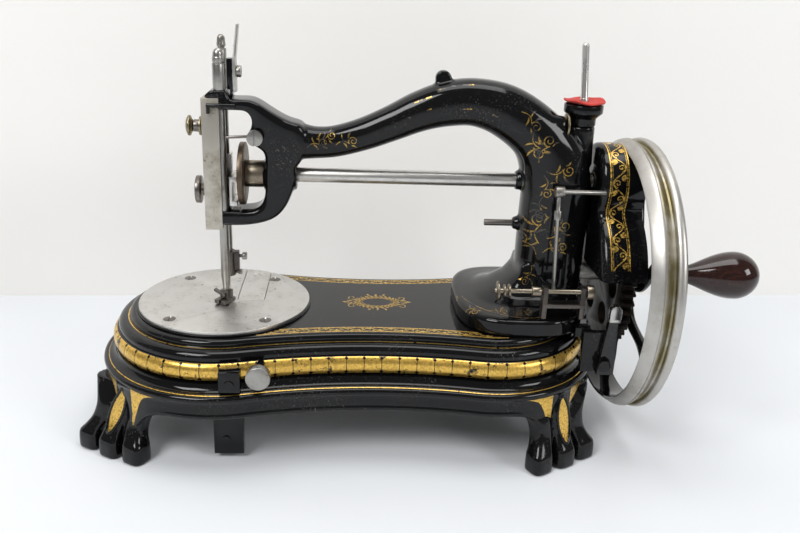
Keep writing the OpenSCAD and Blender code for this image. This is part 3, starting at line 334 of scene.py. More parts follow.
class Tree:
    """Short calls for adding shader nodes and links."""

    def __init__(self, tree):
        self.tree, self.x = tree, 0

    def node(self, kind, values=None, **settings):
        made = self.tree.nodes.new(kind)
        self.x += 60
        made.location = (self.x, -30 * (len(self.tree.nodes) % 12))
        for key, value in settings.items():
            setattr(made, key, value)
        return self.fill(made, values or {})

    def fill(self, node, values):
        """Links or sets several inputs of a node."""
        for key, value in values.items():
            self.put(node, key, value)
        return node

    def put(self, node, key, value):
        socket = node.inputs[key]
        if isinstance(value, bpy.types.NodeSocket):
            self.tree.links.new(value, socket)
        elif isinstance(value, bpy.types.Node):
            self.tree.links.new(value.outputs[0], socket)
        else:
            socket.default_value = value

    def math(self, operation, a, b=0.0, clamp=False):
        return self.node("ShaderNodeMath", {0: a, 1: b}, operation=operation,
                         use_clamp=clamp).outputs[0]

    def times(self, a, b, clamp=False):
        return self.math("MULTIPLY", a, b, clamp)

    def plus(self, a, b, clamp=False):
        return self.math("ADD", a, b, clamp)

    def minus(self, a, b):
        return self.math("SUBTRACT", a, b)

    def size(self, a):
        return self.math("ABSOLUTE", a)

    def scaled(self, vector, factor):
        """A vector times a number."""
        return self.node("ShaderNodeVectorMath", {0: vector, "Scale": factor}, operation="SCALE")

    def stretched(self, vector, factors):
        """A vector times another, part by part."""
        return self.node("ShaderNodeVectorMath", {0: vector, 1: factors}, operation="MULTIPLY")

    def place(self):
        """Where on its object a point lies."""
        return self.node("ShaderNodeTexCoord").outputs["Object"]

    def uv(self):
        """The two parts of the piece's UV map."""
        return self.node("ShaderNodeSeparateXYZ", {
            0: self.node("ShaderNodeUVMap", uv_map="UVMap")}).outputs[:2]

    def group(self, key, values):
        """One of the shared groups with its inputs filled."""
        return self.fill(self.node("ShaderNodeGroup", node_tree=groups()[key]), values).outputs

    def bump(self, shader, height, strength, distance):
        self.put(shader, "Normal", self.node("ShaderNodeBump", {
            "Strength": strength, "Distance": distance, "Height": height}))

    def noise(self, vector, scale, detail=4.0, rough=0.55, distortion=0.0):
        return self.node("ShaderNodeTexNoise", {"Vector": vector, "Scale": scale, "Detail": detail,
                                                "Roughness": rough, "Distortion": distortion})

    def ramp(self, value, low, high, out_low=0.0, out_high=1.0):
        return self.node("ShaderNodeMapRange", {
            "Value": value, "From Min": low, "From Max": high, "To Min": out_low,
            "To Max": out_high}, interpolation_type="SMOOTHSTEP").outputs[0]

    def mix(self, factor, a, b):
        return self.node("ShaderNodeMix", {0: factor, 6: a, 7: b}, data_type="RGBA").outputs[2]


def shader_group(name, inputs, outputs, build):
    """A node group with named inputs and outputs, built once and shared by the materials."""
    group = bpy.data.node_groups.get(name)
    if group:
        return group
    group = bpy.data.node_groups.new(name, "ShaderNodeTree")
    for label, kind, default in inputs:
        made = group.interface.new_socket(name=label, in_out="INPUT", socket_type=kind)
        if default is not None:
            made.default_value = default
    for label, kind in outputs:
        group.interface.new_socket(name=label, in_out="OUTPUT", socket_type=kind)
    tree = Tree(group)
    start = tree.node("NodeGroupInput")
    end = tree.node("NodeGroupOutput")
    tree.fill(end, build(tree, start.outputs))
    return group


FLOAT, COLOUR, VECTOR = "NodeSocketFloat", "NodeSocketColor", "NodeSocketVector"


def build_enamel_age(tree, given):
    """Old enamel: its gloss dulls in soft clouds, fine dust lies in it and a few chips show."""
    vector = given["Vector"]
    cloud = tree.noise(vector, 26.0, 5.0, 0.6)
    fine = tree.noise(vector, 900.0, 3.0, 0.7)
    waves = tree.noise(vector, 90.0, 3.0, 0.5)
    chip = tree.ramp(tree.noise(vector, 210.0, 4.0, 0.62), 0.72, 0.77)
    chip = tree.times(chip, given["Chips"])
    dust = tree.times(tree.ramp(fine, 0.56, 0.78), tree.ramp(cloud, 0.45, 0.7))
    dust = tree.times(dust, given["Dust"])
    colour = tree.mix(dust, given["Color"], (0.16, 0.15, 0.14, 1))
    colour = tree.mix(chip, colour, (0.09, 0.075, 0.06, 1))
    rough = tree.ramp(cloud, 0.3, 0.75, 0.05, 0.17)
    rough = tree.plus(rough, tree.times(dust, 0.3))
    rough = tree.plus(rough, tree.times(chip, 0.4), clamp=True)
    height = tree.plus(tree.times(waves, 0.5), tree.times(chip, -1.0))
    return {"Color": colour, "Roughness": rough, "Height": height}


def build_metal_age(tree, given):
    """Worn metal: fine turning lines, grey-brown spots of age and dull clouds."""
    vector = given["Vector"]
    grain = tree.noise(tree.stretched(vector, given["Grain"]), 1.0, 3.0, 0.6)
    cloud = tree.noise(vector, 60.0, 6.0, 0.66)
    spot = tree.ramp(tree.noise(vector, 330.0, 5.0, 0.7), 0.56, 0.7)
    spot = tree.times(spot, tree.ramp(cloud, 0.42, 0.62))
    spot = tree.times(spot, given["Spots"])
    tarnish = tree.times(tree.ramp(cloud, 0.4, 0.75), given["Tarnish"])
    colour = tree.mix(tarnish, given["Color"], given["Tarnish Color"])
    colour = tree.mix(spot, colour, (0.06, 0.048, 0.036, 1))
    rough = tree.ramp(cloud, 0.3, 0.75, 0.0, 0.14)
    rough = tree.plus(rough, given["Roughness"])
    rough = tree.plus(rough, tree.times(spot, 0.25), clamp=True)
    height = tree.plus(tree.times(grain, 0.6), tree.times(spot, -0.5))
    return {"Color": colour, "Roughness": rough, "Height": height}


def build_gold_wear(tree, given):
    """Where gilding has rubbed off: broad noise and fine grain pass a limit set by the wear."""
    broad = tree.noise(given["Vector"], 95.0, 5.0, 0.62)
    fine = tree.noise(given["Vector"], 700.0, 3.0, 0.6)
    both = tree.plus(tree.times(broad, 0.8), tree.times(fine, 0.2))
    limit = tree.ramp(given["Wear"], 0.0, 1.0, 0.3, 0.62)
    limit = tree.minus(both, limit)
    keep = tree.times(limit, 14.0, clamp=True)
    tone = tree.ramp(fine, 0.3, 0.7, 0.7, 1.15)
    return {"Keep": keep, "Tone": tone}


def groups():
    """The three shared node groups."""
    return {
        "enamel": shader_group(
            "Enamel age", [("Vector", VECTOR, None), ("Color", COLOUR, (0, 0, 0, 1)),
                           ("Chips", FLOAT, 1.0), ("Dust", FLOAT, 1.0)],
            [("Color", COLOUR), ("Roughness", FLOAT), ("Height", FLOAT)], build_enamel_age),
        "metal": shader_group(
            "Metal age", [("Vector", VECTOR, None), ("Color", COLOUR, (1, 1, 1, 1)),
                          ("Tarnish Color", COLOUR, (0.3, 0.25, 0.17, 1)),
                          ("Grain", VECTOR, (300, 300, 300)), ("Roughness", FLOAT, 0.25),
                          ("Spots", FLOAT, 0.5), ("Tarnish", FLOAT, 0.3)],
            [("Color", COLOUR), ("Roughness", FLOAT), ("Height", FLOAT)], build_metal_age),
        "gold": shader_group(
            "Gold wear", [("Vector", VECTOR, None), ("Wear", FLOAT, 0.3)],
            [("Keep", FLOAT), ("Tone", FLOAT)], build_gold_wear),
    }


def new_material(name):
    """A material of its own, apart from the plain ones that the frame brings."""
    name = "look_" + name
    material = bpy.data.materials.get(name)
    if material:
        return material, None, None
    material = bpy.data.materials.new(name)
    material.use_nodes = True
    return material, Tree(material.node_tree), material.node_tree.nodes["Principled BSDF"]


def enamel_group(tree, vector):
    """The shared enamel in the colour of the settings."""
    return tree.group("enamel", {
        "Vector": vector, "Color": bpy.context.scene.machine_enamel.black[:], "Chips": 1.0,
        "Dust": 1.0})


def enamel():
    """Glossy black enamel under a clear coat."""
    material, tree, shader = new_material("enamel")
    if tree:
        out = enamel_group(tree, tree.place())
        tree.fill(shader, {
            "Base Color": out["Color"], "Roughness": out["Roughness"],
            "Specular IOR Level": 0.26, "Coat Weight": 0.12, "Coat Roughness": 0.03})
        tree.bump(shader, out["Height"], 0.35, 0.00012)
    return material


def gilded(name, mask_of, wear):
    """Enamel with gilding where mask_of(tree, u, v) says, from the piece's UV map in mm."""
    material, tree, shader = new_material(name)
    if tree:
        vector = tree.place()
        u, v = tree.uv()
        black = enamel_group(tree, vector)
        worn = tree.group("gold", {"Vector": vector, "Wear": wear})
        mask = tree.times(mask_of(tree, u, v), worn["Keep"], clamp=True)
        tone = tree.scaled(bpy.context.scene.machine_enamel.gold[:3], worn["Tone"])
        tree.fill(shader, {
            "Base Color": tree.mix(mask, black["Color"], tone.outputs[0]),
            "Metallic": tree.times(mask, 0.85),
            "Roughness": tree.plus(black["Roughness"], tree.times(mask, 0.2), clamp=True),
            "Specular IOR Level": 0.26, "Coat Weight": 0.12, "Coat Roughness": 0.05})
        tree.bump(shader, tree.plus(black["Height"], tree.times(mask, 0.4)), 0.35, 0.00012)
    return material


def gold_leaf(name, wear, metallic=0.85, dim=1.0):
    """Painted gold lines and leaves; what has rubbed off shows dark enamel."""
    material, tree, shader = new_material(name)
    if tree:
        worn = tree.group("gold", {"Vector": tree.place(), "Wear": wear})
        gold = [dim * c for c in bpy.context.scene.machine_enamel.gold[:3]]
        tone = tree.scaled(gold, worn["Tone"])
        tree.fill(shader, {
            "Base Color": tree.mix(worn["Keep"], (0.02, 0.016, 0.01, 1), tone.outputs[0]),
            "Metallic": tree.times(worn["Keep"], metallic),
            "Roughness": tree.ramp(worn["Tone"], 0.7, 1.15, 0.22, 0.38),
            "Coat Weight": 0.3, "Coat Roughness": 0.12})
    return material


def metal(name, colour, tarnish_colour=(0.25, 0.2, 0.13, 1), grain=(250, 250, 250), rough=0.24,
          spots=0.5, tarnish=0.3, strength=0.1):
    """Metal with grain along one way, spots of age and tarnish."""
    material, tree, shader = new_material(name)
    if tree:
        out = tree.group("metal", {
            "Vector": tree.place(), "Color": colour, "Tarnish Color": tarnish_colour,
            "Grain": grain, "Roughness": rough, "Spots": spots, "Tarnish": tarnish})
        tree.fill(shader, {"Base Color": out["Color"], "Roughness": out["Roughness"],
                           "Metallic": 1.0})
        tree.bump(shader, out["Height"], strength, 0.00008)
    return material


# ---------------------------------------------------------------- base and bed

LEFT_R, RIGHT_R, LOBE_GAP, WAIST = 60.0, 54.5, 180.0, 47.0
BED_TOP = PLATE_Z - 3
BED_UNDER = BED_TOP - 10.5
BAND_UNDER = BED_UNDER - 13
SKIRT_TOP = BAND_UNDER - 8.5
SKIRT_LOW = SKIRT_TOP - 13
SKIRT_OUT = 21.5
MID_OUT = 10
OUTLINE_COUNT = 420
# A height in the UV map where no gilding lies, and the gilding's rise over what it lies on
UNGILDED = 60.0
LEAF_LIFT, SHEET_LIFT = 0.06, 0.09


def waist_arc():
    """Radius and centre of the arc that touches both round ends and the waist, by halving."""
    low, high = 5.0, 3000.0
    for _ in range(60):
        r = 0.5 * (low + high)
        span = sum(math.sqrt((e - WAIST) * (e + WAIST + 2 * r)) for e in (LEFT_R, RIGHT_R))
        low, high = (r, high) if span < LOBE_GAP else (low, r)
    y = WAIST + r
    return r, math.sqrt((LEFT_R + r) ** 2 - y * y), y


def bed_outline(out, count=OUTLINE_COUNT):
    """The bed's outline moved along its own normals: round ends joined by hollow sides."""
    r, x, y = waist_arc()
    left = math.degrees(math.atan2(y, x))
    right = math.degrees(math.atan2(y, x - LOBE_GAP))
    side, left_end, right_end = r - MID_OUT, LEFT_R + MID_OUT, RIGHT_R + MID_OUT
    parts = [arc(0, 0, left_end, left_end, left, 360 - left, 90),
             arc(x, -y, side, side, 180 - left, 180 - right, 60)[1:-1],
             arc(LOBE_GAP, 0, right_end, right_end, -right, right, 90),
             arc(x, y, side, side, 180 + right, 180 + left, 60)[1:-1]]
    ring = resample(np.concatenate(parts), count, closed=True)
    ahead = np.roll(ring, -1, 0) - np.roll(ring, 1, 0)
    normal = np.stack([ahead[:, 1], -ahead[:, 0]], -1) / np.linalg.norm(ahead, axis=1)[:, None]
    return ring + normal * (out - MID_OUT)


def ring_stack(profile):
    """The outline carried up and down a profile of [out, height] rows."""
    return np.stack([at_level(bed_outline(out), z) for out, z in profile])


BASE_PROFILE = np.concatenate([
    [[9.5, BED_UNDER]],
    arc(10, (BED_UNDER + BAND_UNDER) / 2, 4.4, 6.3, 88, -88, 22),
    np.array([[11.0, -0.3], [12.2, -0.7], [13.0, -0.8]]) + [0, BAND_UNDER],
    arc(18.2, BAND_UNDER - 0.8, 5.0, 4.9, 188, 262, 9),
    np.array([[18.2, -6.2], [18.6, -6.5]]) + [0, BAND_UNDER],
    arc(19.2, SKIRT_TOP - 0.2, 2.5, 2.6, 88, -15, 10),
    np.array([[21.2, -1.8], [20.8, -2.4], [20.7, -5], [20.7, -8]]) + [0, SKIRT_TOP],
    np.array([[20.8, 3.6], [21.3, 2.6], [21.5, 1.4], [21.1, 0.4], [20.2, 0], [18.8, 0],
              [18.2, 0.6]]) + [0, SKIRT_LOW],
    [[17.9, SKIRT_TOP - 1], [5.5, BAND_UNDER - 1], [4.0, BED_UNDER]],
])
BASE_RUN = run_length(BASE_PROFILE)
# Rows of the profile: the band's middle, where the bead starts and where the skirt's face does
BAND_MIDDLE, BEAD_START, FACE_START = BASE_RUN[[12, 38, 49]]
BAND_HALF, CROSS_HALF, STRIPE_HALF = 6.7, 0.24, 0.26
BAND_DOTS = [(-5.6, 1.0), (4.1, 1.3)]
# Gilded spandrels beside each leg: half length, depth, and half width left clear for the rib
SPANDREL, SPANDREL_DEPTH, SPANDREL_CLEAR = 27.0, 11.5, 7.6
# How the skirt's edge falls to a leg: depth, flat half width and length of the fall
DIP_DEPTH, DIP_FLAT, DIP_LENGTH = 22.0, 7, 30.0


def band_mask(tree, u, v):
    """Gold on the half-round band but for cross lines with dots, a thin line, and spandrels."""
    step = bpy.context.scene.machine_enamel.division
    cell = tree.times(tree.minus(tree.math("FRACT", tree.math("DIVIDE", u, step)), 0.5), step)
    across = tree.minus(v, BAND_MIDDLE)
    gold = tree.math("LESS_THAN", tree.size(across), BAND_HALF)
    gold = tree.times(gold, tree.math("GREATER_THAN", tree.size(cell), CROSS_HALF))
    for level, radius in BAND_DOTS:
        gap = tree.math("SQRT", tree.plus(tree.math("POWER", cell, 2.0),
                                          tree.math("POWER", tree.minus(across, level), 2.0)))
        gold = tree.times(gold, tree.math("GREATER_THAN", gap, radius))
    stripe = tree.math("LESS_THAN", tree.size(tree.minus(v, BEAD_START - 0.4)), STRIPE_HALF)
    gold = tree.math("MAXIMUM", gold, stripe)
    down = tree.minus(v, FACE_START + 1.4)
    for leg in leg_places():
        side = tree.size(tree.minus(u, leg))
        reach = tree.math("DIVIDE", tree.minus(SPANDREL, side), SPANDREL - 8.0, clamp=True)
        depth = tree.times(tree.math("POWER", reach, 2.0), SPANDREL_DEPTH)
        inside = tree.times(tree.math("LESS_THAN", down, depth),
                            tree.math("GREATER_THAN", down, 0.0))
        inside = tree.times(inside, tree.math("GREATER_THAN", side, SPANDREL_CLEAR))
        gold = tree.math("MAXIMUM", gold, inside)
    return gold


def leg_places():
    """Where the four legs meet the skirt, as lengths along the outline."""
    ring, along = bed_outline(SKIRT_OUT), closed_run(bed_outline(MID_OUT))
    places = []
    for x, y, turn, lean in FEET:
        a = math.radians(turn)
        top = [x + lean * math.cos(a), y + lean * math.sin(a)]
        places.append(float(along[np.argmin(np.linalg.norm(ring - top, axis=1))]))
    return places


def skirt_dip():
    """How far the skirt's edge hangs at each point: a hollow curve that falls to each leg."""
    along = closed_run(bed_outline(MID_OUT))
    away = np.abs(along[:-1] - np.array(leg_places())[:, None])
    away = np.minimum(away, along[-1] - away).min(0)
    return DIP_DEPTH * np.clip(1 - (away - DIP_FLAT) / DIP_LENGTH, 0, 1) ** 2.8


def base_rings():
    """The moulded base: its outline carried down a profile, the edge drawn down at the legs."""
    points = ring_stack(BASE_PROFILE)
    face_top = SKIRT_TOP - 5
    share = np.clip((face_top - points[..., 2]) / (face_top - SKIRT_LOW), 0, 1)
    points[..., 2] -= skirt_dip() * share
    shape = Shape().grid(points, wrap_rows=True, wrap_cols=True, u=closed_run(bed_outline(MID_OUT)),
                         v=np.append(BASE_RUN, BASE_RUN[-1] + 9))
    material = gilded("gilded_base", band_mask, bpy.context.scene.machine_enamel.gold_wear)
    return shape_piece("base_rings", shape, material, sharp=50)


BED_PROFILE = np.concatenate([
    arc(0, BED_TOP - 3, 3, 3, 88, 0, 8),
    [[3, BED_TOP - 4.1], [3.3, BED_TOP - 4.4], [5.6, BED_TOP - 4.6]],
    arc(6, BED_TOP - 9.1, 4.5, 4.4, 88, 0, 12),
    [[10.5, BED_UNDER + 0.2], [10.2, BED_UNDER], [-6, BED_UNDER], [-6, BED_TOP - 5]],
])
BED_RUN = run_length(BED_PROFILE)


def bed_edge_mask(tree, u, v):
    """A thin gold line on the small flat between the bed's two mouldings."""
    return tree.math("LESS_THAN", tree.size(tree.minus(v, BED_RUN[10] + 0.6)), 0.4)


def bed_body():
    """The bed: its mouldings, and a top that runs inwards to the seat of the needle plate."""
    shape = Shape()
    first = bed_outline(0)
    along = closed_run(first)
    shape.grid(ring_stack(BED_PROFILE), wrap_cols=True, u=along, v=BED_RUN)
    spine = np.stack([np.clip(first[:, 0], 0, LOBE_GAP), np.zeros(len(first))], -1)
    top = [at_level(first * (1 - share) + spine * share, BED_TOP)
           for share in np.linspace(0, 1, 14) ** 0.8]
    under = [at_level(bed_outline(out), BED_TOP - 5) for out in (-6, -20, -40)]
    for rows, caps in ((top, (False, False)), (under, (False, True))):
        shape.grid(np.stack(rows), wrap_cols=True, u=along, v=np.full(len(rows), UNGILDED),
                   caps=caps)
    seat = [[BED_TOP - 0.5, 57.2], [BED_TOP + 0.6, 58.2], [PLATE_Z - 2.15, 58.1],
            [PLATE_Z - 2.05, 57.6], [PLATE_Z - 2.05, 1]]
    shape.turned(seat, count=160, v=np.full(6, UNGILDED))
    return shape_piece("bed_body", shape, gilded("gilded_bed", bed_edge_mask, 0.25),
                       replaces=("bed",), sharp=40)


FOOT_TURN = 30.0
# Each foot's x, y, turn and how far its top leans to the side
FEET = [(-67.0, -55.0, 180 - FOOT_TURN, -8.0), (-67.0, 55.0, FOOT_TURN, 8.0),
        (LOBE_GAP + RIGHT_R - 7.7, -(RIGHT_R + 10.3), 180 + FOOT_TURN, 0.0),
        (LOBE_GAP + RIGHT_R - 7.7, RIGHT_R + 10.3, -FOOT_TURN, 0.0)]
# Rows of one strand of a foot: height, middle to the side, half width, middle outwards, half depth
RIB_ROWS = [
    [0.1, 0, 7.3, 0.8, 6.9], [1.2, 0, 7.9, 0.8, 7.4], [9, 0, 7.9, 0.8, 7.3],
    [12.5, 0, 7.5, 0.4, 6.9], [15, 0, 7.1, -0.6, 6.4], [19, 0, 7.0, -2.4, 5.9],
    [24, 0, 7.1, -4.2, 5.6], [30, 0, 7.3, -5.8, 5.6], [38, 0, 7.1, -7.4, 5.2],
    [45, 0, 5.8, -8.6, 4.6], [50, 0, 3.8, -8.6, 4.2], [52, 0, 2.4, -8.8, 3.2]]
SIDE_ROWS = [
    [0.1, 18.6, 7.3, -0.6, 7.0], [1.2, 18.6, 8.0, -0.6, 7.6], [9, 18.6, 8.0, -0.7, 7.5],
    [12.5, 18.4, 7.6, -1.2, 7.2], [15, 17.2, 7.0, -2.4, 6.8], [18.5, 15.6, 6.6, -4.2, 6.5],
    [23, 14.2, 6.5, -6.2, 6.4], [30, 14.0, 7.0, -8.6, 6.6], [36, 15.4, 8.6, -10.8, 6.6],
    [42, 17.6, 11.0, -13.4, 6.2], [47, 18.6, 12.5, -15, 5.8]]
SECTION = 3.4


def turned_foot(points, foot):
    """Foot coordinates turned about Z and moved to the foot's place."""
    x, y, turn, _ = foot
    return np.concatenate([turned_flat(points, turn, x, y), points[..., 2:]], -1)


def foot_lean(foot, level):
    """How far a foot leans to the side at a height: nothing at the toes, all of it at the top."""
    return foot[3] * np.clip((level - 12) / 32, 0, 1) ** 1.3


def foot_strand(rows, foot, side=1.0):
    """A strand of a foot: superellipse sections along smooth rows, leaning as the foot leans."""
    rings = []
    for z, across, half, out, depth in smooth_rows(rows, 5):
        p = superellipse(half, depth, SECTION, 40)
        rings.append(at_level(p + [side * across + foot_lean(foot, z), out], z))
    return turned_foot(np.stack(rings), foot)


def claw_feet():
    """Four feet: a middle rib and two side strands that end in block toes, welded together."""
    shape = Shape()
    for foot in FEET:
        for rows, side in ((RIB_ROWS, 1), (SIDE_ROWS, -1), (SIDE_ROWS, 1)):
            shape.grid(foot_strand(rows, foot, side), wrap_cols=True, caps=(True, True))
    return shape_piece("claw_feet", shape, enamel(), sharp=60, modifiers=[
        ("REMESH", {"mode": "VOXEL", "voxel_size": 0.0009}),
        ("SMOOTH", {"factor": 0.5, "iterations": 5})])


def rib_front(across, level, foot, lift):
    """The front of a foot's middle rib: its middle plus depth times the superellipse's rise."""
    rows = smooth_rows(RIB_ROWS, 5)
    half, out, depth = (np.interp(level, rows[:, 0], rows[:, k]) for k in (2, 3, 4))
    rise = (1 - np.clip(np.abs(across) / half, 0, 0.98) ** SECTION) ** (1 / SECTION)
    points = np.stack([across + foot_lean(foot, level), out + depth * rise + lift, level], -1)
    return turned_foot(points, foot)


def foot_panels():
    """A gilded lens on each foot's middle rib, and the raised rim round it."""
    gold, rims = Shape(), Shape()
    t = np.linspace(0, 1, 40)
    half = 4.7 * np.sin(np.pi * t) ** 0.6
    level = 17.0 + 30.5 * t
    share = np.linspace(-1, 1, 9)[:, None]
    edge = np.concatenate([np.stack([half + 0.4, level], -1),
                           np.stack([-half - 0.4, level], -1)[::-1]])
    for foot in FEET:
        gold.grid(rib_front(half * share, np.broadcast_to(level, (9, 40)), foot, 0.12))
        path = rib_front(edge[:, 0], edge[:, 1], foot, 0.1)
        rims.loop_tube(resample(path, 90, closed=True), 0.95, 8)
    sheet_piece("foot_gold", gold, gold_leaf("gold_foot", 0.15))
    return shape_piece("foot_rims", rims, enamel(), sharp=60)


# ---------------------------------------------------------------- arm and head

# The arm's path and sections: x, height over the plate, half height, half depth
ARM_ROWS = [
    [48, 110.6, 12.4, 11.4], [60, 109.7, 10.3, 10.5], [74, 110.8, 10, 10], [92, 116, 10.4, 10.5],
    [110, 123.5, 11.3, 11.5], [128, 131.8, 12.8, 13], [146, 137.2, 14.4, 14],
    [164, 138.4, 15.2, 15], [184, 133, 17, 16.5], [204, 119.5, 18.5, 18], [215.9, 103, 21.9, 19],
    [220.8, 84, 22.9, 20], [220.8, 60, 22.9, 20], [220.8, 36, 22.9, 20], [220.8, 6, 22.9, 20],
]
BOOT_X = 200
# The boot's sections: height over the plate, reach left, half depth, reach right, power
BOOT_ROWS = [
    [-2.9, 42.5, 51.5, 42.5, 3], [-2.2, 43, 52, 43, 3], [2, 43, 52, 43, 3], [6.5, 43, 52, 43, 3],
    [8.0, 42, 51, 42.5, 3], [8.8, 40, 48, 42, 3], [9.3, 36, 42, 42, 2.9], [10.4, 30, 33, 42, 2.7],
    [14, 21, 26, 42, 2.6], [20, 10, 21.5, 42, 2.5], [27, 3, 19, 42, 2.4], [34, 1, 17, 42, 2.4],
]
# The open head's outlines: x, height over the plate
HEAD_OUTER = [(-1.4, 55.3), (10, 55.2), (20.5, 56), (30.5, 58.5), (37.5, 62.5), (42.5, 68.5),
              (46, 76), (48.5, 84), (49, 94), (52.5, 98.7), (56, 110), (54, 121), (45, 124.4),
              (38.5, 127.4), (32, 131.2), (26, 134.9), (20, 137), (9, 137), (-1.4, 137)]
HEAD_INNER = [(-1.4, 65.2), (10, 65.2), (19, 65.6), (25, 68), (28, 73), (29.2, 80), (29.2, 88),
              (29.2, 96), (29.2, 101), (27.5, 104.8), (22.5, 108), (18.6, 111.2), (18.2, 114.5),
              (20.4, 118.5), (21.4, 123), (20.3, 127), (17, 129.8), (8, 130.2), (-1.4, 130.2)]
HEAD_TOP = np.array([(-8.2, 137.6), (-1.4, 137.6), (-1.4, 134), (8, 134), (7.6, 138), (6, 142.3),
                     (-3.5, 142.3), (-7.4, 138.6)])


def arm_rings(rows, count=56):
    """Superellipse sections square to the arm's path."""
    rows = np.asarray(rows, float)
    way = np.gradient(rows[:, :2], axis=0)
    way /= np.linalg.norm(way, axis=1)[:, None]
    way[0] = (1, 0)
    rings = []
    for (x, z, half, depth), (wx, wz) in zip(rows, way):
        p = superellipse(half, depth, 2.4, count)
        rings.append(np.stack([x - wz * p[:, 0], -p[:, 1], PLATE_Z + z + wx * p[:, 0]], -1))
    return np.stack(rings)


def arm_casting():
    """Arm, pillar, boot and open head as one casting, welded by a remesh and then smoothed."""
    shape = Shape()
    shape.grid(arm_rings(smooth_rows(ARM_ROWS, 6)), wrap_cols=True, caps=(True, True))
    rings = []
    for z, left, depth, right, power in BOOT_ROWS:
        p = superellipse(1, depth, power, 72)
        reach = np.where(p[:, 0] < 0, left, right)
        rings.append(np.stack([BOOT_X + p[:, 0] * reach, p[:, 1], np.full(72, PLATE_Z + z)], -1))
    shape.grid(np.stack(rings), wrap_cols=True, caps=(True, True))
    outer = resample(smooth_rows(HEAD_OUTER, 5), 120)
    inner = resample(smooth_rows(HEAD_INNER, 5), 120)
    rings = []
    for (ox, oz), (ix, iz) in zip(outer, inner):
        p = superellipse(1, 12, 6, 40)
        mid, half = ((ox + ix) / 2, (oz + iz) / 2), ((ox - ix) / 2, (oz - iz) / 2)
        rings.append(np.stack([mid[0] + p[:, 0] * half[0], p[:, 1],
                               PLATE_Z + mid[1] + p[:, 0] * half[1]], -1))
    shape.grid(np.stack(rings), wrap_cols=True, caps=(True, True))
    shape.turned([[27.5, 9.8], [49.5, 9.8]], (0, 0, SHAFT_Z), "x", 40)
    shape.plate(HEAD_TOP + [0, PLATE_Z], 11.5)
    shape.plate(arc(141.5, PLATE_Z + 153, 5.2, 5.2, 0, 360, 36)[:-1], 3.5)
    shape.turned([[195, 8.5], [206, 8.0], [212, 7.2], [220.6, 6.2]],
                 (0, -8, PLATE_Z + 126.5), "x", 40)
    shape.turned([[PLATE_Z + 100, 9.5], [PLATE_Z + 112, 8.8], [PLATE_Z + 126, 8.6]],
                 (233.8, 0, 0), "z", 40)
    shape.turned([[193, 6.4], [203, 6.4]], (0, 0, SHAFT_Z), "x", 40)
    shape.turned([[193.5, 4.2], [203, 5.4]], (0, 0, PLATE_Z + 58.4), "x", 32)
    return shape_piece("arm_casting", shape, enamel(), replaces=("arm", "head_frame"), sharp=60,
                       modifiers=[("REMESH", {"mode": "VOXEL", "voxel_size": 0.0011}),
                                  ("SMOOTH", {"factor": 0.5, "iterations": 6})])


# ---------------------------------------------------------------- gilding laid on surfaces


def ribbon(points, width):
    """The two sides of a flat stroke: the path moved both ways along its own normal."""
    points = np.asarray(points, float)
    ahead = np.gradient(points, axis=0)
    ahead /= np.maximum(np.linalg.norm(ahead, axis=1), 1e-9)[:, None]
    normal = np.stack([-ahead[:, 1], ahead[:, 0]], -1)
    half = np.broadcast_to(np.asarray(width, float), (len(points),))[:, None] / 2
    return np.stack([points - normal * half, points, points + normal * half])


def spiral(cx, cy, start_r, end_r, start, turns, steps=30):
    """A volute: the radius shrinks evenly while the angle grows."""
    t = np.linspace(0, 1, steps)
    a = math.radians(start) + 2 * np.pi * turns * t
    r = start_r + (end_r - start_r) * t
    return np.stack([cx + r * np.cos(a), cy + r * np.sin(a)], -1)


def leaf(x, y, length, width, turn, steps=9):
    """A pointed leaf: its half width is a sine along its length."""
    t = np.linspace(0, 1, steps)
    path = np.stack([t * length, 0.12 * length * np.sin(np.pi * t)], -1)
    turned = turned_flat(path, turn, x, y)
    return ribbon(turned, width * np.sin(np.pi * np.clip(t, 0.02, 0.98)) ** 0.8)


def vine_band(length, half, bay, edge):
    """Strokes of a scrolling vine between two edge lines; s runs along and t across the band."""
    strokes = []
    steps = max(int(length), 20)
    s = np.linspace(0, length, steps)
    for side in (-1, 1):
        for inset, width in ((edge / 2, edge), (edge * 1.9, edge * 0.35)):
            strokes.append(ribbon(np.stack([s, np.full(steps, side * (half - inset))], -1), width))
    inner = half - 2.4 * edge
    bays = max(int(round(length / bay)), 1)
    bay = length / bays
    fine = np.linspace(0, length, bays * 16)
    strokes.append(ribbon(np.stack([fine, -inner * np.cos(np.pi * fine / bay) * 0.96], -1),
                          edge * 0.75))
    for k in range(bays):
        sign = 1 if k % 2 else -1
        cx, cy = (k + 0.98) * bay, -sign * inner * 0.3
        volute = spiral(cx, cy, inner * 0.62, inner * 0.12, 180, 1.35 * sign, 26)
        strokes.append(ribbon(volute, np.linspace(edge * 0.8, edge * 0.5, 26)))
        for spread, size in ((-34, 0.85), (0, 1.1), (32, 0.8)):
            strokes.append(leaf(cx - bay * 0.62, cy + sign * inner * 0.05, inner * size,
                                inner * 0.42, spread - 90 * sign))
        strokes.append(leaf(cx - 0.12 * bay, cy - sign * inner * 0.12, inner * 0.35, inner * 0.3,
                            40 * sign))
    return strokes


def mapped_strokes(shape, strokes, surface):
    """Lays each stroke on a surface that turns its flat (s, t) places into points."""
    for stroke in strokes:
        shape.grid(surface(stroke[..., 0], stroke[..., 1]))


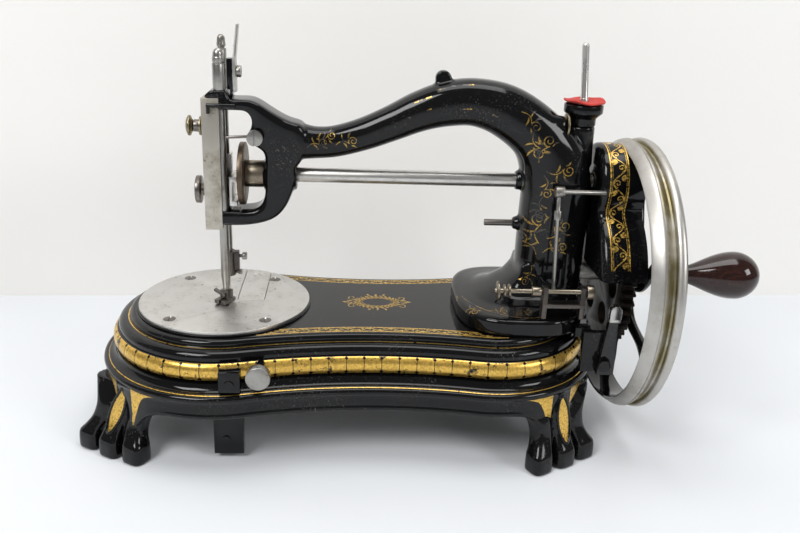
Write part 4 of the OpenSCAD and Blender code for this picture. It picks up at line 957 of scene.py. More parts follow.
def cast_sheet(name, shape, target, axis, back, material):
    """Throws flat strokes onto a piece along Y or Z and drops the quads that miss it."""
    mesh = shape.mesh(name)
    start = np.empty(len(mesh.vertices) * 3)
    mesh.vertices.foreach_get("co", start)
    wrap = {"target": target, "wrap_method": "PROJECT", "wrap_mode": "ABOVE_SURFACE",
            "offset": SHEET_LIFT / 1000, "use_project_x": False, "use_project_y": axis == "y",
            "use_project_z": axis == "z", "use_positive_direction": not back,
            "use_negative_direction": back}
    piece = finish_piece(name, mesh, [material], "frame", "black_enamel", closed=False, sharp=80,
                         modifiers=[("SHRINKWRAP", wrap)])
    end = np.empty_like(start)
    piece.data.vertices.foreach_get("co", end)
    moved = np.abs(end - start).reshape(-1, 3).max(1) > 0.001
    loops = np.empty(len(piece.data.loops), np.int32)
    piece.data.loops.foreach_get("vertex_index", loops)
    quads = loops.reshape(-1, 4)
    quads = quads[moved[quads].all(1)]
    used, places = np.unique(quads, return_inverse=True)
    piece.data.clear_geometry()
    piece.data.from_pydata(end.reshape(-1, 3)[used].tolist(), [], places.reshape(-1, 4).tolist())
    piece.data.polygons.foreach_set("use_smooth", [True] * len(quads))
    return piece


BORDER_HALF = 3.3


def bed_border():
    """The scrolled border along the bed's edge, clear of the needle plate and the arm's boot."""
    shape = Shape()
    edge, inner = bed_outline(-1.4, 1600), bed_outline(-8.4, 1600)
    along = run_length((edge + inner) / 2)
    for stroke in vine_band(along[-1], BORDER_HALF, 7.0, 0.72):
        s, share = stroke[..., 0], (stroke[..., 1] / BORDER_HALF + 1) / 2
        x, y = (np.interp(s, along, edge[:, k]) * (1 - share)
                + np.interp(s, along, inner[:, k]) * share for k in (0, 1))
        points = np.stack([x, y, np.full(s.shape, BED_TOP + LEAF_LIFT)], -1)
        x, y = x[1], y[1]
        under_plate = np.hypot(x, y) < 59.5
        under_boot = np.abs((x - BOOT_X) / 43.5) ** 3 + np.abs(y / 52.5) ** 3 < 1
        hidden = np.concatenate([[1], under_plate | under_boot, [1]])
        for start, end in np.flatnonzero(np.diff(hidden)).reshape(-1, 2):
            if end - start > 2:
                shape.grid(points[:, start:end])
    return sheet_piece("bed_border", shape, gold_leaf("gold_border", 0.1, dim=1.1, metallic=0.5))


def spray(x, z, size, turn, mirror=1):
    """A small spray: a volute on a bent stem with leaves, turned and scaled."""
    a = np.linspace(0, 1, 24)
    stem = np.stack([a * 10, 2.4 * np.sin(np.pi * a)], -1)
    parts = [ribbon(stem, 0.55), ribbon(spiral(12.2, 1.6, 3.2, 0.7, 200, -1.35, 26),
                                        np.linspace(0.7, 0.4, 26))]
    parts += [leaf(9, 3.2, 5.4, 1.2, 62), leaf(6, 2.6, 4.6, 1.0, 100), leaf(5, 1.6, 5.0, 1.1, -58),
              leaf(10.5, -1.2, 4.2, 1.0, -30)]
    return [turned_flat(part * [size, size * mirror], turn, x, z) for part in parts]


# Sprays on the arm and pillar: x, height over the plate, size, turn and side
SPRAYS = [
    (56, 108, 0.9, 12, 1), (62, 114, 0.8, 20, -1), (74, 110, 0.95, 8, 1), (190, 136, 1.1, -50, 1),
    (199, 124, 1.2, -64, -1), (204, 104, 1.25, 62, 1), (209, 99, 1.2, 10, -1),
    (208, 96, 1.0, -84, 1), (209, 82, 1.0, -86, -1), (209, 50, 1.35, 88, 1), (213, 54, 1.2, 44, -1),
    (212, 44, 1.1, 10, 1), (208, 42, 1.1, 140, -1), (206, 34, 0.9, -120, 1)]
# Worn dashes that are left of a line along the arch: x, height over the plate, length, tilt
DASHES = [(123, 138.5, 5.5, 24), (130, 141.5, 4.0, 20), (138, 147, 4.5, 12), (146, 149.3, 2.5, 8),
          (153, 150.4, 7, 3), (131, 134.6, 3, 20), (153, 136.2, 6, 2), (172, 133.5, 4, -22)]
# Sprays on the boot: x, y, turn and side
BOOT_SPRAYS = [(163, -14, 150, 1), (165, -28, -70, -1), (176, -38, -12, 1), (192, -38, 4, -1)]


def arm_gilding():
    """What is left of the gilding on the arm, the arch and the pillar."""
    strokes = []
    for x, z, size, turn, side in SPRAYS:
        strokes += spray(x, PLATE_Z + z, size, turn, side)
    for x, z, length, tilt in DASHES:
        t = np.linspace(0, length, 6)
        strokes.append(ribbon(turned_flat(np.stack([t, 0 * t], -1), tilt, x, PLATE_Z + z), 0.8))
    shape = Shape()
    mapped_strokes(shape, strokes, lambda s, t: np.stack([s, np.full(s.shape, -62.0), t], -1))
    return cast_sheet("arm_gilding", shape, bpy.data.objects["arm_casting"], "y", False,
                      gold_leaf("gold_arm", 0.5, dim=0.5))


def boot_gilding():
    """The scrolls and the edge line on the boot under the pillar, cast from below the arch."""
    strokes = []
    for x, y, turn, side in BOOT_SPRAYS:
        strokes += spray(x, y, 0.8, turn, side)
    strokes.append(ribbon(arc(BOOT_X, 0, 40.2, 47.2, -165, -72, 59), 0.6))
    shape = Shape()
    mapped_strokes(shape, strokes,
                   lambda s, t: np.stack([s, t, np.full(s.shape, PLATE_Z + 55)], -1))
    return cast_sheet("boot_gilding", shape, bpy.data.objects["arm_casting"], "z", True,
                      gold_leaf("gold_arm", 0.5, dim=0.5))


WREATH_RX, WREATH_RY, WREATH_LEAVES = 12.5, 8.6, 26
WREATH_X, WREATH_Y, WREATH_SCALE = 104, 3.7, 1.1


def wreath():
    """A plain oval wreath of leaves and scrolls in the middle of the bed."""
    shape = Shape()
    strokes = []
    for k in range(WREATH_LEAVES):
        a = 2 * np.pi * k / WREATH_LEAVES
        x, y = WREATH_RX * math.cos(a), WREATH_RY * math.sin(a)
        turn = math.degrees(math.atan2(WREATH_RY * math.cos(a), -WREATH_RX * math.sin(a)))
        for spread in (-38, 38):
            strokes.append(leaf(x, y, 3.6, 1.5, turn + spread))
    for rx, ry, width in ((WREATH_RX, WREATH_RY, 0.5), (9.4, 6.0, 0.35)):
        strokes.append(ribbon(arc(0, 0, rx, ry, 0, 360, 89), width))
    for sx in (-1, 1):
        for sy in (-1, 1):
            path = spiral(sx * 15.6, sy * 6.4, 3.4, 0.6, 90 + sx * 90, 1.3 * sx * sy, 26)
            strokes.append(ribbon(path, np.linspace(0.9, 0.4, 26)))
            strokes.append(leaf(sx * 15.2, sy * 1.2, 4.2, 1.7, 90 - sx * 90 + sx * sy * 20))
        strokes.append(leaf(sx * 17.5, 0, 4.4, 2.0, 90 - sx * 90))
    for k in range(-1, 2):
        strokes.append(leaf(k * 4.5, 10.2, 3.2, 1.6, 90 - 22 * k))
        strokes.append(leaf(k * 4.5, -10.2, 3.2, 1.6, -90 + 22 * k))
    mapped_strokes(shape, strokes, lambda s, t: np.stack(
        [WREATH_X + WREATH_SCALE * s, WREATH_Y + WREATH_SCALE * t,
         np.full(s.shape, BED_TOP + LEAF_LIFT)], -1))
    return sheet_piece("bed_wreath", shape, gold_leaf("gold_wreath", 0.3, dim=0.7))


# ---------------------------------------------------------------- gear cover

COVER_START, COVER_END = work_box("gear_cover")
COVER_LEFT, COVER_RIGHT, COVER_LOW = COVER_START[0] + 4.5, COVER_END[0], COVER_START[2]
COVER_WALL = 2.4
RIM_INNER = 86.2
COVER_STEP = 261.7
LOBE_UP, LOBE_LOW, LOBE_FILLET = 24.17, 50.84, 9.0
BAND_LOW_Z = 131.0


def cover_outline(grow, count=300):
    """Two round lobes joined by hollow fillets, open below: seen along the shaft, as (y, z)."""
    upper, lower, fillet = LOBE_UP + grow, LOBE_LOW + grow, LOBE_FILLET - grow
    rise = SHAFT_Z - WHEEL_Z
    one, two = upper + fillet, lower + fillet
    meet = (rise ** 2 + two ** 2 - one ** 2) / (2 * rise)
    side = math.sqrt(two ** 2 - meet ** 2)
    low = math.degrees(math.asin((COVER_LOW - WHEEL_Z) / lower))
    turn = math.degrees(math.atan2(meet, side))
    back = math.degrees(math.atan2(meet - rise, side))
    half = np.concatenate([arc(0, WHEEL_Z, lower, lower, low, turn, 40),
                           arc(side, WHEEL_Z + meet, fillet, fillet, turn + 180, back + 180, 12),
                           arc(0, SHAFT_Z, upper, upper, back, 90, 60)])
    whole = np.concatenate([half, half[::-1][1:] * [-1, 1]])
    return resample(whole, count)


def inside_rim(points):
    """Draws points right of the step in to the room inside the wheel's rim."""
    away = points[:, 1:] - [0, WHEEL_Z]
    radius = np.linalg.norm(away, axis=1)[:, None]
    points[:, 1:] = [0, WHEEL_Z] + away * np.minimum(1, (RIM_INNER - 0.8) / radius)
    return points


def gear_cover():
    """The cover: its outline carried along the shaft, rounded at the left, stepped at the rim."""
    shape = Shape()
    round_r = 4.5
    corner = arc(COVER_LEFT + round_r, -round_r, round_r, round_r, 90, 180, 10)
    rings = [inside_rim(at_place(x, cover_outline(COVER_WALL)))
             for x in (COVER_RIGHT, COVER_RIGHT - 0.6, COVER_STEP + 6, COVER_STEP + 0.1)]
    flat = [[COVER_STEP, 0], [COVER_STEP - 0.4, 0], [COVER_LEFT + 9, 0]]
    rings += [at_place(x, cover_outline(COVER_WALL + grow))
              for x, grow in np.concatenate([flat, corner])]
    last = rings[-1]
    spine = np.stack([last[:, 0], np.zeros(len(last)),
                      np.clip(last[:, 2], COVER_LOW, SHAFT_Z)], -1)
    rings += [last * (1 - share) + spine * share for share in (0.3, 0.6, 0.85)]
    shape.grid(np.stack(rings), u=np.arange(len(last)), v=np.arange(len(rings)))
    return shape_piece("gear_cover_shell", shape, enamel(), replaces=("gear_cover",), sharp=50,
                       modifiers=[("SOLIDIFY", {"thickness": 0.002, "offset": -1.0})])


def cover_band():
    """The gilded scroll band round the gear cover."""
    shape = Shape()
    ring = cover_outline(COVER_WALL + SHEET_LIFT, 900)[::-1]
    ring = ring[ring[:, 1] > BAND_LOW_Z]
    along = run_length(ring)
    mapped_strokes(shape, vine_band(along[-1], 6.3, 10.4, 0.85), lambda s, t: np.stack(
        [COVER_LEFT + 11.6 + t, np.interp(s, along, ring[:, 0]), np.interp(s, along, ring[:, 1])],
        -1))
    return sheet_piece("gear_cover_band", shape, gold_leaf("gold_band", 0.06))


# ---------------------------------------------------------------- handwheel

WHEEL_END = work_box("handwheel")[1]
RIM_LEFT = WHEEL_END[0] - 23.0
RIM_RIGHT = RIM_LEFT + 20.8
WHEEL_R = WHEEL_END[1]
HANDLE_Y, HANDLE_Z = middle("handle_spindle", 1), middle("handle_spindle", 2)


def wheel_rim():
    """The rim: a broad bright band, a belt groove and a round outer bead; black inside."""
    outside = np.concatenate([
        np.array([[0, -5.6], [0, -5.3], [0.4, -4.9], [1.2, -4.3], [2.8, -3.1], [4.6, -2.0],
                  [6.4, -1.0], [6.9, -0.9], [7.2, -1.2], [7.6, -0.7], [8.6, -0.6], [9.8, -1.3],
                  [11.3, -2.9], [13, -3.6], [14.2, -3.3]]) + [RIM_LEFT, WHEEL_R],
        arc(RIM_RIGHT - 3.2, WHEEL_R - 2.4, 3.2, 2.4, 176, 0, 16),
        [[RIM_RIGHT, WHEEL_R - 4.2], [RIM_RIGHT - 0.4, WHEEL_R - 6.2]]])
    inside = np.array([[RIM_RIGHT - 0.4, WHEEL_R - 6.2], [RIM_RIGHT - 1.2, WHEEL_R - 6.6],
                       [RIM_LEFT + 10, WHEEL_R - 6.6], [RIM_LEFT + 0.6, WHEEL_R - 6.4],
                       [RIM_LEFT, WHEEL_R - 5.6]])
    shape = Shape()
    count = 240
    a = 2 * np.pi * np.arange(count) / count
    for profile, mark in ((outside, 0), (inside, 1)):
        grid = np.stack([np.repeat(profile[:, :1], count, 1), profile[:, 1:] * np.cos(a),
                         profile[:, 1:] * np.sin(a) + WHEEL_Z], -1)
        shape.grid(grid, wrap_cols=True, mark=mark, u=np.arange(count + 1), v=profile[:, 0])
    return finish_piece("wheel_rim", shape.mesh("wheel_rim"), [rim_metal(), enamel()], "wheel",
                        "wheel_metal", replaces=("handwheel",), sharp=35)


def rim_metal():
    """Dull nickel that has worn to a brassy brown in the belt groove."""
    material, tree, shader = new_material("rim_metal")
    if tree:
        vector, along = tree.place(), tree.uv()[1]
        groove = tree.times(tree.ramp(along, RIM_LEFT + 7.4, RIM_LEFT + 8.4),
                            tree.ramp(along, RIM_RIGHT - 5.4, RIM_RIGHT - 6.4))
        patch = tree.ramp(tree.noise(vector, 42.0, 5.0, 0.6), 0.3, 0.62)
        out = tree.group("metal", {
            "Vector": vector, "Color": (0.5, 0.485, 0.46, 1), "Tarnish Color": (0.3, 0.27, 0.2, 1),
            "Grain": (900, 160, 160), "Roughness": 0.36, "Spots": 0.35, "Tarnish": 0.4})
        brown = tree.mix(tree.times(groove, patch), out["Color"], (0.27, 0.235, 0.135, 1))
        tree.fill(shader, {"Base Color": brown, "Roughness": out["Roughness"], "Metallic": 1.0})
        tree.bump(shader, out["Height"], 0.2, 0.00008)
    return material


SPOKES, SPOKE_START, HUB_R = 6, 180 - 19.6, 11


def wheel_spokes():
    """Spokes in a shallow S, round in section, a hub and the boss of the handle."""
    shape = Shape()
    t = np.linspace(0, 1, 26)
    r = HUB_R + (WHEEL_R - 6.3 - HUB_R) * t
    bend = 8.5 * np.sin(2 * np.pi * t) * (1 - 0.3 * t)
    half = 4.0 + 5.0 * (2 * t - 1) ** 2
    for k in range(SPOKES):
        a = math.radians(SPOKE_START + 360 / SPOKES * k)
        rings = []
        for rr, bb, hh in zip(r, bend, half):
            p = superellipse(hh, 2.9, 2.6, 20)
            across = bb + p[:, 0]
            rings.append(np.stack([RIM_RIGHT - 6 + p[:, 1],
                                   rr * math.cos(a) - across * math.sin(a),
                                   rr * math.sin(a) + across * math.cos(a) + WHEEL_Z], -1))
        shape.grid(np.stack(rings), wrap_cols=True, caps=(True, True))
    hub = [[RIM_LEFT + 5.8, 6.2], [RIM_LEFT + 5.8, 12.5], [RIM_LEFT + 7, 14.5],
           [RIM_RIGHT - 9, 15], [RIM_RIGHT - 5, 17], [RIM_RIGHT - 1, 15.5],
           [RIM_RIGHT + 0.8, 14], [RIM_RIGHT + 1, 12.5], [RIM_RIGHT + 1, 6.2]]
    shape.turned(smooth_rows(hub, 3), (0, 0, WHEEL_Z), "x", 48)
    boss = [[RIM_RIGHT - 9.5, 6.5], [RIM_RIGHT - 8, 8], [RIM_RIGHT + 1.2, 8], [RIM_RIGHT + 2.2, 7]]
    shape.turned(boss, (0, HANDLE_Y, HANDLE_Z), "x", 40)
    return shape_piece("wheel_spokes", shape, enamel(), "wheel", replaces=("handwheel",),
                       sharp=50)


# ---------------------------------------------------------------- grip, felt, turned pieces


def grip_material():
    """Dark turned wood: fine rings along the axis, polished, with darker clouds."""
    material, tree, shader = new_material("dark_wood")
    if tree:
        vector = tree.place()
        grain = tree.noise(tree.stretched(vector, (60, 900, 900)), 1.0, 5.0, 0.6)
        cloud = tree.noise(vector, 70.0, 4.0, 0.5)
        colour = tree.mix(tree.ramp(grain, 0.4, 0.68), bpy.context.scene.machine_trim.wood[:],
                          (0.032, 0.009, 0.006, 1))
        colour = tree.mix(tree.times(tree.ramp(cloud, 0.55, 0.8), 0.5), colour,
                          (0.006, 0.003, 0.003, 1))
        tree.fill(shader, {
            "Base Color": colour, "Roughness": tree.ramp(cloud, 0.3, 0.8, 0.07, 0.18),
            "Specular IOR Level": 0.35, "Coat Weight": 0.25, "Coat Roughness": 0.06})
        tree.bump(shader, grain, 0.015, 0.0001)
    return material


NECK_SHARE = 0.68


def wooden_grip():
    """The turned grip: a neck whose radius follows a power of a sine, and an elliptical nose."""
    low, high = work_box("handle_grip")
    left, length, radius = low[0], high[0] - low[0], (high[2] - low[2]) / 2
    t = np.linspace(0, 1, 40)
    neck = np.stack([left + NECK_SHARE * length * t,
                     radius * (0.34 + 0.66 * np.sin(np.pi / 2 * t) ** 1.45)], -1)
    nose = arc(left + NECK_SHARE * length, 0, (1 - NECK_SHARE) * length, radius, 86, 1.5, 26)
    profile = np.concatenate([[[left + 0.3, radius * 0.3]], neck, nose])
    shape = Shape().turned(profile, (0, HANDLE_Y, HANDLE_Z), "x", 96)
    return shape_piece("wooden_grip", shape, grip_material(), "grip", "dark_wood",
                       replaces=("handle_grip",), sharp=50)


def felt_material():
    """Worn red felt: tangled fibres, paler where it is rubbed."""
    material, tree, shader = new_material("red_felt")
    if tree:
        vector = tree.place()
        fibres = tree.noise(vector, 1500.0, 6.0, 0.75, 1.2)
        cloud = tree.noise(vector, 160.0, 4.0, 0.6)
        colour = tree.mix(tree.ramp(fibres, 0.35, 0.7), bpy.context.scene.machine_trim.felt[:],
                          (0.58, 0.06, 0.045, 1))
        colour = tree.mix(tree.times(tree.ramp(cloud, 0.55, 0.75), 0.6), colour,
                          (0.26, 0.014, 0.011, 1))
        tree.fill(shader, {"Base Color": colour, "Roughness": 0.95, "Sheen Weight": 0.06})
        tree.bump(shader, fibres, 0.7, 0.0004)
    return material


FELT_PROFILE = [(3.2, 0.1), (6, 0.1), (9, 0.15), (11.5, 0.25), (13.1, 0.4), (13.5, 1.0),
                (13.1, 1.6), (11.5, 1.6), (9, 1.5), (6, 1.5), (3.2, 1.5)]


def spool_felt():
    """A felt disc that has curled up at its edge."""
    low, high = work_box("spool_felt")
    cx, z = (low[0] + high[0]) / 2, low[2]
    a = 2 * np.pi * np.arange(96) / 96
    wave = 0.9 * np.sin(2 * a + 0.6) + 0.5 * np.sin(5 * a)
    rings = []
    for r, rise in FELT_PROFILE:
        lift = np.clip((r - 6) / 7.5, 0, 1) ** 2 * (wave * 0.75 + 0.75)
        rings.append(np.stack([cx + r * np.cos(a), r * np.sin(a), z + rise + lift], -1))
    shape = Shape().grid(np.stack(rings), wrap_cols=True, wrap_rows=True)
    return shape_piece("spool_felt_disc", shape, felt_material(), slot="red_felt",
                       replaces=("spool_felt",), sharp=60)


# ---------------------------------------------------------------- dressing of the CAD nodes

DRESSED = [
    # node, material, body, slot, bevel in mm
    ("needle_plate", "plate", "frame", "bright_steel", 0.25),
    ("plate_screws", "dark", "frame", "dark_steel", 0.15),
    ("slide_cover", "plate", "plate_slide", "bright_steel", 0.2),
    ("face_plate", "face", "frame", "face_metal", 0.6),
    ("front_bush", "bush", "frame", "old_brass", 0.3),
    ("rear_bushes", "brass", "frame", "old_brass", 0.3),
    ("spool_cup", "enamel", "frame", "black_enamel", 0.5),
    ("spool_pin", "steel_z", "frame", "bright_steel", 0.2),
    ("upper_guide", "brass", "frame", "old_brass", 0.3),
    ("pillar_pin", "dark", "frame", "dark_steel", 0.3),
    ("tension_stud", "brass", "frame", "old_brass", 0.25),
    ("tension_spring", "dark", "frame", "dark_steel", 0.2),
    ("tension_nut", "brass", "tension_dial", "old_brass", 0.4),
    ("face_nut", "dark", "face_dial", "dark_steel", 0.4),
    ("thread_rod", "enamel", "frame", "black_enamel", 0.3),
    ("guide_stud", "bar", "frame", "dark_steel", 0.3),
    ("thread_wire", "dark", "frame", "dark_steel", 0.1),
    ("presser_housing", "bar", "frame", "bright_steel", 0.3),
    ("presser_cap", "bar", "frame", "bright_steel", 0.1),
    ("presser_bar", "bar", "presser_unit", "bright_steel", 0.2),
    ("presser_foot", "dark", "presser_unit", "dark_steel", 0.3),
    ("foot_screw", "dark", "presser_unit", "dark_steel", 0.3),
    ("lifter_bracket", "enamel", "frame", "black_enamel", 0.4),
    ("lifter_lever", "steel_z", "lifter", "bright_steel", 0.3),
    ("lifter_screw", "bar", "frame", "dark_steel", 0.3),
    ("needle_bar", "bar", "needle_unit", "bright_steel", 0.2),
    ("needle_cap", "bar", "needle_unit", "bright_steel", 0.1),
    ("crosshead", "steel_z", "needle_unit", "bright_steel", 0.5),
    ("needle_clamp", "lever", "needle_unit", "dark_steel", 0.4),
    ("clamp_screw", "bar", "needle_unit", "dark_steel", 0.3),
    ("needle", "steel_z", "needle_unit", "bright_steel", 0.0),
    ("main_shaft", "steel_x", "shaft", "bright_steel", 0.3),
    ("crank_disc", "iron", "shaft", "brown_iron", 0.5),
    ("barrel_cam", "dark", "shaft", "dark_steel", 0.4),
    ("pinion", "gear", "shaft", "dark_steel", 0.12),
    ("drive_gear", "gear", "wheel", "brown_iron", 0.15),
    ("wheel_stud", "steel_x", "frame", "bright_steel", 0.3),
    ("wheel_screw", "dark", "frame", "dark_steel", 0.4),
    ("handle_spindle", "steel_x", "wheel", "bright_steel", 0.3),
    ("rocking_lever", "dark", "rocker", "dark_steel", 0.4),
    ("lever_pin", "dark", "frame", "dark_steel", 0.3),
    ("shuttle_bar", "dark", "shuttle_unit", "dark_steel", 0.4),
    ("shuttle", "steel_x", "shuttle_unit", "bright_steel", 0.3),
    ("bar_guides", "enamel", "frame", "black_enamel", 0.4),
    ("feed_dog", "dark", "feed", "dark_steel", 0.2),
    ("winder_bracket", "lever", "frame", "dark_steel", 0.4),
    ("bobbin_spindle", "bush", "winder", "bright_steel", 0.3),
    ("swing_guide", "bar", "guide", "bright_steel", 0.3),
    ("stop_bracket", "enamel", "frame", "black_enamel", 0.5),
    ("stop_lever", "tipped", "stop", "dark_steel", 0.5),
    ("stitch_knob", "bar", "knob", "bright_steel", 0.6),
    ("case_fittings", "enamel", "frame", "black_enamel", 0.5),
]


def tipped_enamel():
    """Black enamel that turns to bright steel above a height of the stop lever."""
    material, tree, shader = new_material("tipped_enamel")
    if tree:
        vector = tree.place()
        out = enamel_group(tree, vector)
        level = tree.node("ShaderNodeSeparateXYZ", {0: vector}).outputs[2]
        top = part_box("stop_lever")[1].z
        tip = tree.ramp(level, top - 0.0115, top - 0.0105)
        tree.fill(shader, {"Base Color": tree.mix(tip, out["Color"], (0.5, 0.49, 0.47, 1)),
                           "Metallic": tip,
                           "Roughness": tree.plus(out["Roughness"], tree.times(tip, 0.15))})
    return material


# Name, colour or the setting that holds it, and what sets the metal apart from metal()'s own values
METALS = {
    "plate": ("plate_steel", (0.66, 0.645, 0.62, 1), dict(
        grain=(350, 350, 350), rough=0.33, spots=0.9, tarnish_colour=(0.33, 0.3, 0.25, 1))),
    "face": ("face_metal", (0.54, 0.51, 0.45, 1), dict(
        grain=(500, 500, 60), rough=0.38, spots=1.0, tarnish=0.8,
        tarnish_colour=(0.24, 0.2, 0.14, 1))),
    "iron": ("brown_iron", (0.12, 0.09, 0.065, 1), dict(
        rough=0.36, spots=0.9, tarnish=0.5, tarnish_colour=(0.2, 0.15, 0.09, 1))),
    "bar": ("bar_steel", (0.36, 0.35, 0.33, 1), dict(
        grain=(1400, 1400, 60), rough=0.28, spots=0.7, tarnish=0.5,
        tarnish_colour=(0.14, 0.12, 0.09, 1), strength=0.06)),
    "bush": ("bush_metal", (0.3, 0.26, 0.2, 1), dict(
        rough=0.25, spots=0.8, tarnish=0.5, tarnish_colour=(0.12, 0.09, 0.06, 1))),
    # The gears sit inside the cover: their near-black colour is painted shade over the iron; the
    # spots and tarnish are the iron's own.
    "gear": ("gear_iron", (0.014, 0.012, 0.011, 1), dict(
        rough=0.42, spots=0.6, tarnish=0.4, tarnish_colour=(0.035, 0.02, 0.012, 1))),
    "lever": ("lever_steel", (0.11, 0.1, 0.095, 1), dict(rough=0.34, spots=0.8)),
    "dark": ("dark_steel", "dark", dict(
        rough=0.27, spots=0.9, tarnish=0.4, tarnish_colour=(0.1, 0.075, 0.05, 1))),
    "brass": ("old_brass", "brass", dict(
        rough=0.26, spots=0.7, tarnish=0.5, tarnish_colour=(0.1, 0.075, 0.045, 1))),
    "steel_x": ("bright_steel_x", "bright", dict(
        grain=(60, 1400, 1400), rough=0.26, spots=0.35, tarnish=0.35, strength=0.05)),
    "steel_z": ("bright_steel_z", "bright", dict(
        grain=(1400, 1400, 60), rough=0.26, spots=0.35, tarnish=0.35, strength=0.05)),
}


def material_for(key):
    """The enamel, or the metal that the table lists under a key."""
    if key in ("enamel", "tipped"):
        return enamel() if key == "enamel" else tipped_enamel()
    name, colour, finish = METALS[key]
    if isinstance(colour, str):
        colour = getattr(bpy.context.scene.machine_metal, colour)[:]
    return metal(name, colour, **finish)


# ---------------------------------------------------------------- stage


def flat_material(name, colour, see_through):
    """A plain dull paint; the backdrop's is clear to a camera that stands behind it."""
    material, tree, shader = new_material(name)
    if tree:
        tree.fill(shader, {"Base Color": colour, "Roughness": 0.9, "Specular IOR Level": 0.1})
        if see_through:
            behind = tree.times(tree.node("ShaderNodeNewGeometry").outputs["Backfacing"],
                                tree.node("ShaderNodeLightPath").outputs["Is Camera Ray"])
            both = tree.node("ShaderNodeMixShader", {
                0: behind, 1: shader, 2: tree.node("ShaderNodeBsdfTransparent")})
            tree.put(material.node_tree.nodes["Material Output"], "Surface", both)
    return material


def stage_sheet(name, corners, colour, see_through=False):
    """A painted sheet that belongs to the stage."""
    mesh = bpy.data.meshes.new(name)
    mesh.from_pydata(corners, [], [(0, 1, 2, 3)])
    mesh.materials.append(flat_material(name + "_paint", colour, see_through))
    sheet = bpy.data.objects.new(name, mesh)
    bpy.context.scene.collection.objects.link(sheet)


# Name, place, what it points at, size and power of each lamp
LAMPS = [("key_light", (-0.9, -1.1, 1.5), (0, 0, 0.1), 0.8, 23),
         ("fill_light", (1.3, -1.0, 0.9), (0.05, 0, 0.12), 0.6, 9.5),
         ("top_light", (0.1, 0.0, 1.7), (0.05, 0, 0.1), 1.1, 16.5)]


def build_stage():
    """The floor, a backdrop that stands a little askew, the lamps and the camera."""
    scene = bpy.context.scene
    scene.view_settings.view_transform = "Standard"
    (left, near), (right, far) = Vector((-3.0, 0.09)), Vector((3.0, 0.357))
    stage_sheet("floor", [(left, -3, 0), (right, -3, 0), (right, 3, 0), (left, 3, 0)],
                (0.7, 0.72, 0.745, 1))
    stage_sheet("backdrop", [(left, near, 0), (right, far, 0), (right, far + 0.02, 5),
                             (left, near + 0.02, 5)], (0.87, 0.855, 0.83, 1), see_through=True)
    world = bpy.data.worlds.new("studio")
    scene.world = world
    world.use_nodes = True
    sky = world.node_tree.nodes["Background"].inputs
    sky["Color"].default_value, sky["Strength"].default_value = (1, 1, 1, 1), 0.2
    for name, spot, target, size, power in LAMPS:
        data = bpy.data.lights.new(name, "AREA")
        data.energy, data.size, data.shape = power, size, "SQUARE"
        lamp = bpy.data.objects.new(name, data)
        lamp.location = spot
        lamp.rotation_euler = (Vector(target) - Vector(spot)).to_track_quat("-Z", "Y").to_euler()
        scene.collection.objects.link(lamp)
    add_camera(scene)


# The view's turn, downward tilt and roll in degrees, its lens in mm, and its place in metres
VIEW_ANGLES, VIEW_LENS = (-3.92, 20.27, 2.42), 36.89
VIEW_PLACE = (0.083 + PLATE_X, -0.5262, 0.22 + PLATE_Z / 1000)


def add_camera(scene):
    """The camera of the photograph, fitted to it: turned, tilted down and then rolled."""
    turn, down, roll = (math.radians(a) for a in VIEW_ANGLES)
    ahead = np.array([-math.sin(turn) * math.cos(down), math.cos(turn) * math.cos(down),
                      -math.sin(down)])
    right = np.array([math.cos(turn), math.sin(turn), 0])
    up = np.cross(right, ahead)
    across = right * math.cos(roll) + up * math.sin(roll)
    above = -right * math.sin(roll) + up * math.cos(roll)
    data = bpy.data.cameras.new("view")
    data.lens, data.sensor_width, data.clip_start = VIEW_LENS, 36, 0.01
    camera = bpy.data.objects.new("view", data)
    turned = Matrix(np.stack([across, above, -ahead], 1).tolist()).to_4x4()
    turned.translation = Vector(VIEW_PLACE)
    camera.matrix_world = turned
    scene.collection.objects.link(camera)
    scene.camera = camera


# ---------------------------------------------------------------- operators


class MACHINE_OT_base(bpy.types.Operator):
    """Build the moulded base with its gilded band, and the claw feet"""
    bl_idname = "machine.base"
    bl_label = "Base and claw feet"

    def execute(self, context):
        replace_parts(base_rings(), "base_casting")
        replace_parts(claw_feet(), "base_casting")
        foot_panels()
        return {"FINISHED"}


class MACHINE_OT_bed(bpy.types.Operator):
    """Build the bed, its scrolled border and its wreath"""
    bl_idname = "machine.bed"
    bl_label = "Bed"

    def execute(self, context):
        bed_body()
        bed_border()
        wreath()
        return {"FINISHED"}


class MACHINE_OT_arm(bpy.types.Operator):
    """Build the arm, pillar and open head as one casting, with its gilding"""
    bl_idname = "machine.arm"
    bl_label = "Arm and head"

    def execute(self, context):
        arm_casting()
        arm_gilding()
        boot_gilding()
        return {"FINISHED"}


class MACHINE_OT_cover(bpy.types.Operator):
    """Build the gear cover and its gilded scroll band"""
    bl_idname = "machine.cover"
    bl_label = "Gear cover"

    def execute(self, context):
        gear_cover()
        cover_band()
        return {"FINISHED"}


class MACHINE_OT_wheel(bpy.types.Operator):
    """Build the handwheel's rim, spokes and hub"""
    bl_idname = "machine.wheel"
    bl_label = "Handwheel"

    def execute(self, context):
        wheel_rim()
        wheel_spokes()
        return {"FINISHED"}


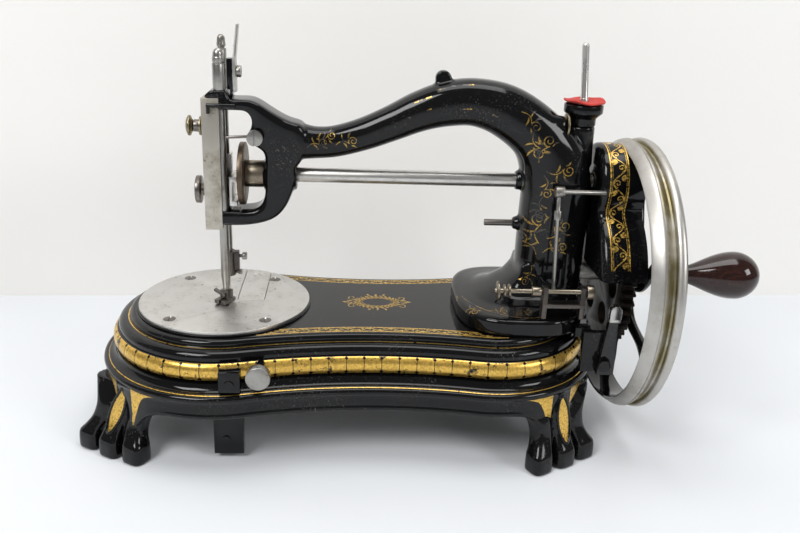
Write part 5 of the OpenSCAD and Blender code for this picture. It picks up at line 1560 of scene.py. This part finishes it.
class MACHINE_OT_trim(bpy.types.Operator):
    """Build the turned grip and the felt under the spool"""
    bl_idname = "machine.trim"
    bl_label = "Grip and felt"

    def execute(self, context):
        wooden_grip()
        spool_felt()
        return {"FINISHED"}


class MACHINE_OT_dressing(bpy.types.Operator):
    """Round and finish the small metal parts"""
    bl_idname = "machine.dressing"
    bl_label = "Small parts"

    def execute(self, context):
        for node, key, body, slot, bevel in DRESSED:
            dressed_node(node, material_for(key), body, slot, bevel)
        return {"FINISHED"}


class MACHINE_OT_stage(bpy.types.Operator):
    """Add the floor, the backdrop, the lamps and the camera"""
    bl_idname = "machine.stage"
    bl_label = "Stage"

    def execute(self, context):
        build_stage()
        return {"FINISHED"}


OPERATORS = [MACHINE_OT_base, MACHINE_OT_bed, MACHINE_OT_arm, MACHINE_OT_cover, MACHINE_OT_wheel,
             MACHINE_OT_trim, MACHINE_OT_dressing, MACHINE_OT_stage]


class MACHINE_PT_panel(bpy.types.Panel):
    """Lists the pieces of the sewing machine."""
    bl_idname = "MACHINE_PT_panel"
    bl_label = "Sewing machine"
    bl_space_type = "VIEW_3D"
    bl_region_type = "UI"
    bl_category = "Sewing machine"

    def draw(self, context):
        for made in OPERATORS:
            self.layout.operator(made.bl_idname)


SETTINGS = {"machine_enamel": EnamelSettings, "machine_metal": MetalSettings,
            "machine_trim": TrimSettings}
CLASSES = [*SETTINGS.values(), *OPERATORS, MACHINE_PT_panel]


def register():
    for made in CLASSES:
        bpy.utils.register_class(made)
    for name, settings in SETTINGS.items():
        setattr(bpy.types.Scene, name, bpy.props.PointerProperty(type=settings))


def unregister():
    for name in SETTINGS:
        delattr(bpy.types.Scene, name)
    for made in reversed(CLASSES):
        bpy.utils.unregister_class(made)


def main():
    register()
    bpy.ops.machine.base()
    bpy.ops.machine.bed()
    bpy.ops.machine.arm()
    bpy.ops.machine.cover()
    bpy.ops.machine.wheel()
    bpy.ops.machine.trim()
    bpy.ops.machine.dressing()
    bpy.ops.machine.stage()


if __name__ == "__main__":
    main()
